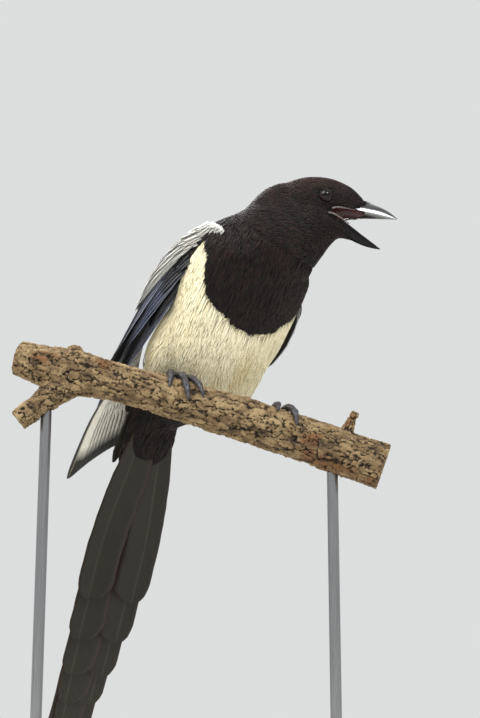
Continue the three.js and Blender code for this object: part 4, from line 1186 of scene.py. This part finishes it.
def scale_material():
    """Leg scales: dark grey horny skin in plates about a millimetre across, with a dull shine."""
    material, tree, out = new_material("Horny leg scales and claws")
    place = add(tree, "ShaderNodeTexCoord").outputs["Object"]
    plates = add(
        tree, "ShaderNodeTexVoronoi", {"Vector": place, "Scale": 850.0, "Randomness": 0.7}, feature="DISTANCE_TO_EDGE"
    ).outputs["Distance"]
    cloud = add(tree, "ShaderNodeTexNoise", {"Vector": place, "Scale": 300.0, "Detail": 3.0}).outputs["Fac"]
    tint = add(
        tree, "ShaderNodeValToRGB", {"Fac": cloud}, stops=[(0.3, linear("211f24")), (0.75, linear("5a575f"))]
    ).outputs[0]
    seam = add(
        tree, "ShaderNodeMapRange", {"Value": plates, "From Max": 0.18, "To Min": 0.35, "To Max": 1.0}
    ).outputs[0]
    tint = add(tree, "ShaderNodeVectorMath", {0: tint, "Scale": seam}, operation="SCALE").outputs[0]
    bump = add(tree, "ShaderNodeBump", {"Strength": 0.7, "Distance": 0.0003, "Height": seam}).outputs[0]
    scales = add(
        tree, "ShaderNodeBsdfPrincipled",
        {"Base Color": tint, "Roughness": 0.3, "IOR": 1.5, "Specular IOR Level": 0.6, "Normal": bump}
    )
    tree.links.new(scales.outputs[0], out.inputs[0])
    return material


def bark_material(settings):
    """Conifer bark: thin weathered flakes over rusty layers, rough and dry."""
    material, tree, out = new_material("Flaking conifer bark")
    marks = add(tree, "ShaderNodeAttribute", attribute_name="marks")
    plate, code, patch = add(tree, "ShaderNodeSeparateColor", {0: marks.outputs["Color"]}).outputs
    place = add(tree, "ShaderNodeTexCoord").outputs["Object"]
    fine = add(
        tree, "ShaderNodeTexNoise", {"Vector": place, "Scale": 900.0, "Detail": 5.0, "Roughness": 0.65}
    ).outputs["Fac"]
    broad = add(tree, "ShaderNodeTexNoise", {"Vector": place, "Scale": 110.0, "Detail": 3.0}).outputs["Fac"]
    mix = add(tree, "ShaderNodeMath", {0: code, 1: 0.6, 2: broad}, operation="MULTIPLY_ADD").outputs[0]
    tint = add(
        tree, "ShaderNodeValToRGB", {"Fac": mix},
        stops=[(0.42, tuple(settings.grey)), (0.72, tuple(settings.pale)), (1.0, linear("a08a66"))]
    ).outputs[0]
    rusty = add(tree, "ShaderNodeValToRGB", {"Fac": patch}, stops=[(0.78, 0.0), (0.92, 0.7)]).outputs[0]
    tint = add(tree, "ShaderNodeMix", {0: rusty, 6: tint, 7: rgba(settings.rust)}, data_type="RGBA").outputs[2]
    # Painted shade: the crack colour darkens the gaps between flakes, where the relief sinks
    crack_shade = add(
        tree, "ShaderNodeValToRGB", {"Fac": plate}, stops=[(0.0, 1.0), (0.3, 0.85), (0.62, 0.0)]
    ).outputs[0]
    tint = add(tree, "ShaderNodeMix", {0: crack_shade, 6: tint, 7: rgba(settings.crack)}, data_type="RGBA").outputs[2]
    shade = add(tree, "ShaderNodeMath", {0: fine, 1: 0.9, 2: 0.5}, operation="MULTIPLY_ADD").outputs[0]
    tint = add(tree, "ShaderNodeVectorMath", {0: tint, "Scale": shade}, operation="SCALE").outputs[0]
    bump = add(tree, "ShaderNodeBump", {"Strength": 0.9, "Distance": 0.0006, "Height": fine}).outputs[0]
    bark = add(
        tree, "ShaderNodeBsdfPrincipled",
        {"Base Color": tint, "Roughness": 0.88, "IOR": 1.5, "Specular IOR Level": 0.3, "Normal": bump}
    )
    tree.links.new(bark.outputs[0], out.inputs[0])
    return material


def stand_materials(settings):
    """Stained beech with a satin lacquer, and steel brushed along the rod."""
    wood, tree, out = new_material("Stained beech, satin lacquer")
    place = add(tree, "ShaderNodeTexCoord").outputs["Object"]
    grain_place = add(tree, "ShaderNodeMapping", {"Vector": place, "Scale": (12, 260, 120)}).outputs[0]
    grain = add(
        tree, "ShaderNodeTexNoise", {"Vector": grain_place, "Scale": 1.0, "Detail": 6.0, "Distortion": 0.6}
    ).outputs["Fac"]
    dark = tuple(c * 0.4 for c in settings.wood)
    tint = add(tree, "ShaderNodeValToRGB", {"Fac": grain}, stops=[(0.3, dark), (0.7, tuple(settings.wood))]).outputs[0]
    bump = add(tree, "ShaderNodeBump", {"Strength": 0.15, "Distance": 0.0003, "Height": grain}).outputs[0]
    board = add(
        tree, "ShaderNodeBsdfPrincipled",
        {"Base Color": tint, "Roughness": 0.45, "IOR": 1.5, "Coat Weight": 0.4, "Coat Roughness": 0.25, "Normal": bump}
    )
    tree.links.new(board.outputs[0], out.inputs[0])
    steel, tree, out = new_material("Brushed steel")
    place = add(tree, "ShaderNodeTexCoord").outputs["Object"]
    scratch_place = add(tree, "ShaderNodeMapping", {"Vector": place, "Scale": (2600, 2600, 40)}).outputs[0]
    scratches = add(tree, "ShaderNodeTexNoise", {"Vector": scratch_place, "Scale": 1.0, "Detail": 3.0}).outputs["Fac"]
    dull = tuple(c * 0.75 for c in settings.steel)
    tint = add(
        tree, "ShaderNodeValToRGB", {"Fac": scratches}, stops=[(0.3, dull), (0.7, tuple(settings.steel))]
    ).outputs[0]
    rough = add(tree, "ShaderNodeMapRange", {"Value": scratches, "To Min": 0.22, "To Max": 0.4}).outputs[0]
    bar = add(
        tree, "ShaderNodeBsdfPrincipled",
        {"Base Color": tint, "Metallic": 1.0, "Roughness": rough, "Anisotropic": 0.5}
    )
    tree.links.new(bar.outputs[0], out.inputs[0])
    return wood, steel


# Pieces


def skin_form(voxel):
    """The whole bird without feathers as one closed skin, with its mouth cut open."""
    made = gather("skin", flesh_forms())
    shape_with(made, "REMESH", mode="VOXEL", voxel_size=voxel)
    shape_with(made, "SMOOTH", factor=0.5, iterations=22)
    hx, _, hz = HINGE
    slope = math.tan(GAPE)
    rings = []
    for x in (4, 10, 60):
        bottom = hz + 0.4 - slope * (x - hx)
        roof, sole = (bottom + 2.4, bottom + 1.6) if x == 4 else (-6.1, bottom)
        rings.append([(x, -14, roof), (x, 14, roof), (x, 14, sole), (x, -14, sole)])
    points, quads, tris = loft(out_of(HEAD, np.array(rings, float)))
    wedge = mesh_object("wedge", points, [quads, tris])
    shape_with(made, "BOOLEAN", operation="DIFFERENCE", object=wedge, solver="MANIFOLD")
    bpy.data.objects.remove(wedge)
    points, normals = places_of(made)
    depth = coat_sizes(nearest_on_axis(points))[2]
    depth = np.where(in_mouth(points, 0.6), 0, depth)
    put(made, points - normals * depth[:, None])
    return made


class MAGPIE_OT_skin(Operator):
    """Join the flesh into one skin that lies under the feathers and carries their colours"""

    bl_idname = "magpie.skin"
    bl_label = "Skin"

    def execute(self, context):
        settings = context.scene.magpie_plumage
        made = skin_form(settings.voxel * (1))
        dress(made, [plumage_material(settings), mouth_material(context.scene.magpie_head)])
        points, _ = places_of(made)
        step = nearest_on_axis(points)
        even = np.ones(len(points))
        marks = np.column_stack([pale_share(points), 0.3 * even, 0.35 * even, tone(points)])
        write_marks(made, marks)
        wet = in_mouth(points, 0.5)
        for face in made.data.polygons:
            face.use_smooth = True
            if all(wet[v] for v in face.vertices):
                face.material_index = 1
        layer = made.data.uv_layers.new(name="OFBake")
        corners = np.empty(len(made.data.loops), np.int32)
        made.data.loops.foreach_get("vertex_index", corners)
        layer.data.foreach_set("uv", unwrap(points, step)[corners].astype(np.float32).ravel())
        belongs(made, "white_feather", "torso", "neck", "head", "thigh_right", "thigh_left")
        return {"FINISHED"}


def coat_pieces(context, wanted, regions, slot, ridge, jitter):
    """Strands over the skin where `wanted` holds, one piece for each named region."""
    settings = context.scene.magpie_plumage
    skin = bpy.data.objects.get("skin")
    if skin is None:
        raise RuntimeError("make the skin before its feathers")
    tree = BVHTree.FromObject(skin, context.evaluated_depsgraph_get())
    shields = []
    for name in ("wing_right", "wing_left", "scapulars_right", "scapulars_left"):
        shields.append(BVHTree.FromObject(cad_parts[name], context.evaluated_depsgraph_get()))
    rng = np.random.default_rng(settings.seed + len(slot))
    reach = settings.density * 1

    def density(points):
        width = coat_sizes(nearest_on_axis(points))[1]
        return reach * (1.3 / width) ** 2 * wanted(points)

    roots, normals = scatter(skin, density, rng)
    h = into(HEAD, roots)
    eye_gap = np.hypot(h[:, 0] - EYE[0], h[:, 2] - EYE[2])
    bare = in_mouth(roots, 0.9) | ((eye_gap < 3.7) & (np.abs(h[:, 1]) > 8)) | (h[:, 0] > 21)
    covered = np.zeros(len(roots), bool)
    # Flank feathers lie over the lower edge of the wing
    edges = np.concatenate([out_of(BODY, curve(lower, np.linspace(0, 0.55, 40))) for _, lower, _ in WINGS.values()])
    for shield in shields:
        for k in np.nonzero(~covered & ~bare)[0]:
            hit = shield.ray_cast(Vector(roots[k] * MM), Vector(normals[k]), 9 * MM)[0]
            covered[k] = hit is not None and np.linalg.norm(edges - np.array(hit) / MM, axis=1).min() > 5.5
    keep = ~(bare | covered)
    roots, normals = roots[keep], normals[keep]
    step = nearest_on_axis(roots)
    sizes, width, depth = coat_sizes(step)
    lay = lay_of(roots, normals, step)
    lay = unit(lay + jitter * rng.normal(size=lay.shape))
    lay = unit(lay - normals * (lay * normals).sum(1, keepdims=True))
    sizes = sizes * settings.fullness * rng.uniform(0.75, 1.2, len(roots))
    # Black feathers over the bib's edge all end at it, which keeps the edge crisp
    ahead_of, _ = bib_edge(roots)
    sizes = np.where(
        (pale_share(roots) < 0.5) & (ahead_of > 0), np.minimum(sizes, np.maximum(ahead_of + 0.8, 2.2)), sizes
    )
    width = width * rng.uniform(0.7, 1.25, len(roots)) * 1
    line, ups = marched(tree, roots, normals, lay, sizes, depth, rng)
    marks = np.column_stack([pale_share(roots), np.zeros(len(roots)), rng.random(len(roots)), tone(roots)])
    bake = unwrap(roots, step)
    group = regions(roots)
    names = sorted(set(group))
    for name in names:
        here = np.array([g == name for g in group])
        sheaf = Sheaf()
        sheaf.add(*strands(line[here], ups[here], width[here], marks[here], bake[here], ridge))
        made = sheaf.piece(f"coat_{name}", [skin.data.materials[0]], flat=True)
        belongs(made, slot)


class MAGPIE_OT_black_coat(Operator):
    """Lay the black feathers of the head, breast, back and vent"""

    bl_idname = "magpie.black_coat"
    bl_label = "Black feathers"

    def execute(self, context):
        def regions(points):
            b = into(BODY, points)
            front = np.where(b[:, 2] < -6, "breast", "nape")
            near_head = np.linalg.norm(points - HEAD[:3, 3], axis=1) < 36
            head = np.where(into(HEAD, points)[:, 0] > -2, "face", "crown")
            group = np.where(near_head, head, np.where(b[:, 0] > 10, front, "back"))
            return group.tolist()

        coat_pieces(context, lambda p: pale_share(p) < 0.5, regions, "black_feather", 0.22, 0.12)
        return {"FINISHED"}


class MAGPIE_OT_pale_coat(Operator):
    """Lay the long cream-white feathers of the belly and flanks"""

    bl_idname = "magpie.pale_coat"
    bl_label = "Cream feathers"

    def execute(self, context):
        def regions(points):
            b = into(BODY, points)
            side = np.where(b[:, 1] < -14, "flank_right", np.where(b[:, 1] > 14, "flank_left", "belly"))
            return side.tolist()

        coat_pieces(context, lambda p: pale_share(p) >= 0.5, regions, "white_feather", 0.06, 0.05)
        return {"FINISHED"}


class MAGPIE_OT_wings(Operator):
    """Lay the flight feathers and coverts of both folded wings, and the white shoulder feathers"""

    bl_idname = "magpie.wings"
    bl_label = "Wings"

    def execute(self, context):
        settings = context.scene.magpie_flight
        rng = np.random.default_rng(21)
        upper, lower = vane_material(settings), vane_material(settings, underside=True)
        white = white_material(context.scene.magpie_plumage)
        for name, spec in WINGS.items():
            sheet = WingSheet(*spec)
            made = wing_feathers(
                sheet, settings.primaries, settings.secondaries, rng
            ).piece(f"feathers_{name}", [upper, lower])
            belongs(made, "wing_feather", f"wing_{name}")
            arm = gather(f"arm_{name}", [arm_form(sheet)])
            shape_with(arm, "SUBSURF", levels=2, render_levels=2)
            write_marks(arm, np.tile((0.2, 0.3, 0.5, 0.0), (len(arm.data.vertices), 1)))
            arm.data.uv_layers.new(name="Vane")
            dress(arm, [upper])
            belongs(arm, "wing_feather")
            made = scapular_feathers(sheet, rng).piece(f"shoulder_{name}", [white, white])
            belongs(made, "white_feather", f"scapulars_{name}")
            down = gather(f"down_{name}", [shoulder_form(sheet)])
            shape_with(down, "SUBSURF", levels=2, render_levels=2)
            down.data.uv_layers.new(name="Vane")
            dress(down, [white])
            belongs(down, "white_feather")
        return {"FINISHED"}


class MAGPIE_OT_tail(Operator):
    """Lay the long tail, feather by feather, with its coverts"""

    bl_idname = "magpie.tail"
    bl_label = "Tail"

    def execute(self, context):
        settings = context.scene.magpie_flight
        rng = np.random.default_rng(33)
        materials = [vane_material(settings, tail=True), vane_material(settings, underside=True, tail=True)]
        made = tail_feathers(rng).piece("tail_feathers", materials)
        belongs(made, "tail_feather", "tail")
        return {"FINISHED"}


def bill_rings(root, tip, wide, high, droop, floor, flip=1, hollow=0.42, rings=26):
    """Rings of half a bill, with a groove on the side that faces the mouth."""
    t = np.sin(np.linspace(0, 1, rings) * np.pi / 2) ** 1.2
    taper = (1 - 0.95 * t**1.5) * (1 - 0.3 * t * (1 - t))
    half, tall = wide * taper, high * (1 - 0.95 * t**3.2)
    steps = np.array([0.06, 0.18, 0.36, 0.55, 0.72, 0.85, 0.94, 0.985, 1])
    y = np.concatenate([-steps[::-1], [0], steps])
    arch = (1 - 0.7 * y * y) * np.minimum(1, (1 - np.abs(y)) / 0.06) ** 0.6
    # A faint keel runs along the ridge
    arch = arch + 0.05 * np.exp(-((y / 0.12) ** 2))
    inner_y = np.array([0.9, 0.72, 0.4, 0, -0.4, -0.72, -0.9])
    groove = np.array([0.1, 0.35, 0.8, 1, 0.8, 0.35, 0.1])
    z = floor - droop * t**3
    x = blend(root, tip, t)
    rows = []
    for k in range(rings):
        outer = np.stack([np.full(len(y), x[k]), y * half[k], z[k] + flip * arch * tall[k]], 1)
        low = hollow * tall[k] * (1 - t[k])
        inner = np.stack([np.full(7, x[k]), inner_y * half[k], z[k] + flip * groove * low], 1)
        rows.append(np.concatenate([outer, inner]))
    return np.array(rows)


def gape_forms():
    """Swollen rims of skin along both edges of the open mouth, from the bill back to its corner."""
    forms = []
    for side in (1, -1):
        upper = [
            (18, side * 6.5, -6.5, 0.3, 0.3, 0.3), (12, side * 7.9, -6.7, 0.5, 0.4, 0.4),
            (7, side * 10.2, -7.7, 0.7, 0.6, 0.6), (4, side * 11.7, -9.4, 0.6, 0.6, 0.6)
        ]
        lower = [(x, y, z + 0.4, *rest) for x, y, z, *rest in upper]
        forms.append(out_of(HEAD, flesh(upper, 20, 10)))
        forms.append(out_of(HEAD, opened(flesh(lower, 20, 10))))
    return forms


def gape_material(settings):
    """Gape skin: soft, dry and pale grey, with fine wrinkles."""
    material, tree, out = new_material("Pale gape skin")
    place = add(tree, "ShaderNodeTexCoord").outputs["Object"]
    folds = add(tree, "ShaderNodeTexNoise", {"Vector": place, "Scale": 1400.0, "Detail": 3.0}).outputs["Fac"]
    dark = tuple(c * 0.45 for c in settings.gape)
    tint = add(tree, "ShaderNodeValToRGB", {"Fac": folds}, stops=[(0.35, dark), (0.7, tuple(settings.gape))]).outputs[0]
    bump = add(tree, "ShaderNodeBump", {"Strength": 0.5, "Distance": 0.0002, "Height": folds}).outputs[0]
    rim = add(tree, "ShaderNodeBsdfPrincipled", {"Base Color": tint, "Roughness": 0.5, "Normal": bump})
    tree.links.new(rim.outputs[0], out.inputs[0])
    return material


def bristle_lines(count, rng):
    """Stiff bristles that lie forward over the root of the upper bill."""
    turn = rng.uniform(-1.45, 1.45, count)
    start = 10.5 + 1.5 * np.abs(turn) + rng.uniform(-2.5, 3, count)
    reach = 15.5 * (1 - 0.42 * np.abs(turn)) * rng.uniform(0.6, 1.1, count)
    t = np.linspace(0, 1, 5)
    x = start[:, None] + reach[:, None] * t
    angle = turn[:, None] * (1 + 0.1 * t) + rng.normal(0, 0.05, (count, 1))
    s = np.clip((x - 9) / 35.5, 0, 1)
    lift = 0.25 + 0.9 * np.sin(np.pi * np.minimum(t, 0.8))
    half = 7.4 * (1 - 0.95 * s**1.5) + lift
    tall = 8.6 * (1 - 0.95 * s**3.2) + lift
    local = np.stack([x, np.sin(angle) * half, -6.3 - 1.2 * s**3 + tall * np.cos(angle)], -1)
    up = np.stack([np.zeros_like(x), np.sin(angle), np.cos(angle)], -1)
    return out_of(HEAD, local), up @ HEAD[:3, :3].T


class MAGPIE_OT_bill(Operator):
    """Shape both halves of the open bill, the tongue's finish and the bristles over the nostrils"""

    bl_idname = "magpie.bill"
    bl_label = "Bill"

    def execute(self, context):
        settings = context.scene.magpie_head
        wet = mouth_material(settings)
        upper = out_of(HEAD, bill_rings(9, 44.5, 7.4, 8.6, 1.2, -6.3))
        lower = out_of(HEAD, opened(bill_rings(11, 42.6, 6.8, 5.6, 0, -6.8, flip=-1)))
        finish = {"upper": ("Polished bill horn", 0.55, 0.9), "lower": ("Dull bill horn", 0.12, 0)}
        for name, rings in (("upper", upper), ("lower", lower)):
            made = gather(f"horn_{name}", [rings])
            dress(made, [horn_material(settings, *finish[name]), wet])
            pick(made)
            bpy.ops.object.shade_smooth_by_angle(angle=math.radians(50))
            belongs(made, "bill", f"bill_{name}")
        dress(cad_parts["tongue"], [wet])
        made = gather("gape", gape_forms())
        dress(made, [gape_material(settings)])
        belongs(made, "bill")
        rng = np.random.default_rng(5)
        line, ups = bristle_lines(420, rng)
        count = len(line)
        roots = line[:, 0]
        marks = np.column_stack([np.zeros(count), np.zeros(count), rng.random(count), np.full(count, 0.05)])
        sheaf = Sheaf()
        bake = unwrap(roots, nearest_on_axis(roots))
        sheaf.add(*strands(line, ups, rng.uniform(0.35, 0.6, count), marks, bake, profile=(1, 1, 0.8, 0.5)))
        made = sheaf.piece("bristles", [bpy.data.materials["Contour feathers, soft barbs"]], flat=True)
        belongs(made, "black_feather")
        return {"FINISHED"}


class MAGPIE_OT_eyes(Operator):
    """Set both eyes in their lids"""

    bl_idname = "magpie.eyes"
    bl_label = "Eyes"

    def execute(self, context):
        ball, lid = eye_material(context.scene.magpie_head), lid_material()
        for name, side in (("right", -1), ("left", 1)):
            centre = out_of(HEAD, (EYE[0], side * EYE[1], EYE[2]))
            outward = HEAD[:3, 1] * side
            turn = Vector(outward).to_track_quat("Z", "Y").to_euler()
            bpy.ops.mesh.primitive_uv_sphere_add(
                segments=40, ring_count=24, radius=EYE_RADIUS * MM, location=centre * MM, rotation=turn
            )
            made = context.object
            made.name = made.data.name = f"eyeball_{name}"
            bpy.ops.object.transform_apply(location=True, rotation=True, scale=True)
            points, _ = places_of(made)
            off = np.degrees(np.arccos(np.clip(unit(points - centre) @ outward, -1, 1)))
            write_marks(made, np.repeat((off / 90)[:, None], 4, 1).clip(0, 1))
            dress(made, [ball])
            bpy.ops.object.shade_smooth()
            belongs(made, "eye", f"eye_{name}")
            bpy.ops.object.select_all(action="DESELECT")
            rim = out_of(HEAD, (EYE[0], side * (EYE[1] + 3.2), EYE[2]))
            bpy.ops.mesh.primitive_torus_add(
                major_radius=3.3 * MM, minor_radius=0.45 * MM, major_segments=56, minor_segments=12,
                location=rim * MM, rotation=turn
            )
            made = context.object
            made.name = made.data.name = f"lid_{name}"
            bpy.ops.object.transform_apply(location=True, rotation=True, scale=True)
            points, normals = places_of(made)
            put(made, points + normals * (0.12 * mottle(points, 0.8, 3))[:, None])
            dress(made, [lid])
            bpy.ops.object.shade_smooth()
            belongs(made, "black_feather")
        return {"FINISHED"}


def merged_copy(name, *nodes):
    """A copy of some nodes joined in one mesh, with the loose corners of their triangles merged."""
    bpy.ops.object.select_all(action="DESELECT")
    copies = []
    for node in nodes:
        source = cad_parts[node]
        copy = bpy.data.objects.new(name, source.data.copy())
        bpy.context.scene.collection.objects.link(copy)
        copy.select_set(True)
        copies.append(copy)
    bpy.context.view_layer.objects.active = copies[0]
    if len(copies) > 1:
        bpy.ops.object.join()
    made = bpy.context.view_layer.objects.active
    bpy.ops.object.mode_set(mode="EDIT")
    bpy.ops.mesh.select_all(action="SELECT")
    bpy.ops.mesh.remove_doubles(threshold=0.00001)
    bpy.ops.object.mode_set(mode="OBJECT")
    made.name = made.data.name = name
    return made


class MAGPIE_OT_feet(Operator):
    """Round and scale the legs, toes and claws"""

    bl_idname = "magpie.feet"
    bl_label = "Legs and feet"

    def execute(self, context):
        scales = scale_material()
        for side in ("right", "left"):
            made = merged_copy(f"leg_{side}", f"tarsus_{side}", f"foot_{side}")
            shape_with(made, "REMESH", mode="VOXEL", voxel_size=(0.00038))
            shape_with(made, "SMOOTH", factor=0.5, iterations=5)
            points, normals = places_of(made)
            put(made, points + normals * 0.75)
            dress(made, [scales])
            pick(made)
            bpy.ops.object.shade_smooth()
            belongs(made, "scales", f"tarsus_{side}", f"foot_{side}")
        return {"FINISHED"}


class MAGPIE_OT_perch(Operator):
    """Flake and crack the bark of the cut branch"""

    bl_idname = "magpie.perch"
    bl_label = "Branch"

    def execute(self, context):
        settings = context.scene.magpie_perch
        made = merged_copy("branch", "perch")
        shape_with(made, "REMESH", mode="VOXEL", voxel_size=(0.0008))
        shape_with(made, "SMOOTH", factor=0.5, iterations=6)
        points, normals = places_of(made)
        run = unit(np.array([(233.0, -5.0, -72.0)]))[0]
        stretched = points - run * (points @ run)[:, None] * (1 - 1 / 2.9)
        plate = settings.plate / MM
        wander = sum(
            np.stack([mottle(points, size, k + size) for k in (21, 22, 23)], 1) * far for size,
            far in ((9, 1.6), (3, 1.1), (1, 0.35))
        )
        edge, code = flakes(stretched + wander, plate, 31)
        small_edge, small_code = flakes(stretched + wander, plate * 0.42, 47)
        flake = ease(edge, 0.0, 0.13)
        small = ease(small_edge, 0.0, 0.3)
        relief = settings.relief / MM
        height = -relief * (1 - flake) * (0.4 + 0.5 * code) + 0.7 * relief * (code - 0.5)
        height = height - 0.16 * relief * (1 - small) * flake + 0.2 * relief * (small_code - 0.5)
        height = height + 0.35 * mottle(stretched, 2.1, 71) + 0.22 * mottle(points, 0.9, 72)
        cut = (np.abs(normals @ run) > 0.9) & ((points[:, 0] < -108) | (points[:, 0] > 110))
        height = np.where(cut, 0.15 * mottle(points, 1.2, 9), height)
        height = np.clip(height, -1.6 * relief, 0.55)
        put(made, points + normals * height[:, None])
        patch = 0.5 + 0.5 * mottle(points, 13, 61) + 0.22 * (code - 0.5)
        # Where a flake's edge is open, the bark material paints shade into the crack
        closed = np.where(cut, 1, np.minimum(flake, 0.45 + 0.55 * small))
        marks = np.column_stack([closed, 0.5 * code + 0.5 * small_code, patch, np.ones(len(points))])
        write_marks(made, marks)
        dress(made, [bark_material(settings)])
        pick(made)
        bpy.ops.object.shade_smooth()
        belongs(made, "bark", "perch")
        return {"FINISHED"}


class MAGPIE_OT_stand(Operator):
    """Finish the stand's base and rods"""

    bl_idname = "magpie.stand"
    bl_label = "Stand"

    def execute(self, context):
        wood, steel = stand_materials(context.scene.magpie_perch)
        dress(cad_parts["stand_base"], [wood])
        for name in ("stand_rod_left", "stand_rod_right"):
            dress(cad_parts[name], [steel])
        return {"FINISHED"}


def look_at(made, target):
    made.rotation_euler = (Vector(target) - made.location).to_track_quat("-Z", "Y").to_euler()


class MAGPIE_OT_stage(Operator):
    """Set the floor, the soft lights and the camera"""

    bl_idname = "magpie.stage"
    bl_label = "Stage"

    def execute(self, context):
        settings = context.scene.magpie_stage
        scene = context.scene
        bpy.ops.object.select_all(action="DESELECT")
        bpy.ops.mesh.primitive_plane_add(size=FLOOR_SIDE, location=(0, 0, -FLOOR_DROP))
        floor = context.object
        floor.name = "floor"
        matt, tree, out = new_material("Matt pale paint")
        place = add(tree, "ShaderNodeTexCoord").outputs["Object"]
        cloud = add(tree, "ShaderNodeTexNoise", {"Vector": place, "Scale": 6.0, "Detail": 2.0}).outputs["Fac"]
        light = tuple(min(1, c * 1.04) for c in settings.floor)
        tint = add(
            tree, "ShaderNodeValToRGB", {"Fac": cloud}, stops=[(0.3, tuple(settings.floor)), (0.7, light)]
        ).outputs[0]
        paint = add(tree, "ShaderNodeBsdfPrincipled", {"Base Color": tint, "Roughness": 0.9})
        tree.links.new(paint.outputs[0], out.inputs[0])
        floor.data.materials.append(matt)
        world = bpy.data.worlds.new("Pale air")
        scene.world = world
        world.use_nodes = True
        tree = world.node_tree
        tree.nodes.clear()
        air = add(tree, "ShaderNodeBackground", {"Color": rgba(linear("eef0f0")), "Strength": settings.air})
        tree.links.new(air.outputs[0], add(tree, "ShaderNodeOutputWorld").inputs[0])
        lights = [
            ("key", (-0.9, -0.5, 1.6), 0.9, settings.key, "fffaf0"),
            ("fill", (0.37, -0.96, 1.22), 0.42, settings.fill, "f8faff"),
            ("rim", (-0.5, 1.0, 1.5), 0.8, settings.key * 1.3, "ffffff"),
        ]
        for name, spot, size, power, shade in lights:
            bpy.ops.object.light_add(type="AREA", radius=size, location=spot)
            lamp = context.object
            lamp.name = f"light_{name}"
            lamp.data.energy = power
            lamp.data.color = linear(shade)
            look_at(lamp, (0, 0.02, 0.28))
        bpy.ops.object.camera_add(location=CAMERA_AT, rotation=(math.radians(90 + CAMERA_TILT), 0, 0))
        camera = context.object
        camera.data.lens = SENSOR * FOCAL_PIXELS / PICTURE_PIXELS
        camera.data.sensor_width = SENSOR
        camera.data.clip_start = 0.01
        scene.camera = camera
        scene.view_settings.view_transform = "Standard"
        return {"FINISHED"}


OPERATORS = (
    MAGPIE_OT_skin, MAGPIE_OT_black_coat, MAGPIE_OT_pale_coat, MAGPIE_OT_wings, MAGPIE_OT_tail, MAGPIE_OT_bill,
    MAGPIE_OT_eyes, MAGPIE_OT_feet, MAGPIE_OT_perch, MAGPIE_OT_stand, MAGPIE_OT_stage,
)
SETTINGS = {
    "magpie_plumage": PlumageSettings, "magpie_flight": FlightSettings, "magpie_head": HeadSettings,
    "magpie_perch": PerchSettings, "magpie_stage": StageSettings,
}


class MAGPIE_PT_sidebar(Panel):
    """Lists the pieces of the magpie and their settings"""

    bl_idname = "MAGPIE_PT_sidebar"
    bl_label = "Magpie"
    bl_space_type = "VIEW_3D"
    bl_region_type = "UI"
    bl_category = "Magpie"

    def draw(self, context):
        for operator in OPERATORS:
            self.layout.operator(operator.bl_idname)
        for key, group in SETTINGS.items():
            box = self.layout.box()
            box.label(text=group.__doc__)
            for name in group.__annotations__:
                box.prop(getattr(context.scene, key), name)


def register():
    for made in (*SETTINGS.values(), *OPERATORS, MAGPIE_PT_sidebar):
        bpy.utils.register_class(made)
    for key, group in SETTINGS.items():
        setattr(bpy.types.Scene, key, PointerProperty(type=group))


def unregister():
    for key in SETTINGS:
        delattr(bpy.types.Scene, key)
    for made in reversed((*SETTINGS.values(), *OPERATORS, MAGPIE_PT_sidebar)):
        bpy.utils.unregister_class(made)


def main():
    register()
    for operator in OPERATORS:
        part, name = operator.bl_idname.split(".")
        getattr(getattr(bpy.ops, part), name)()


if __name__ == "__main__":
    main()
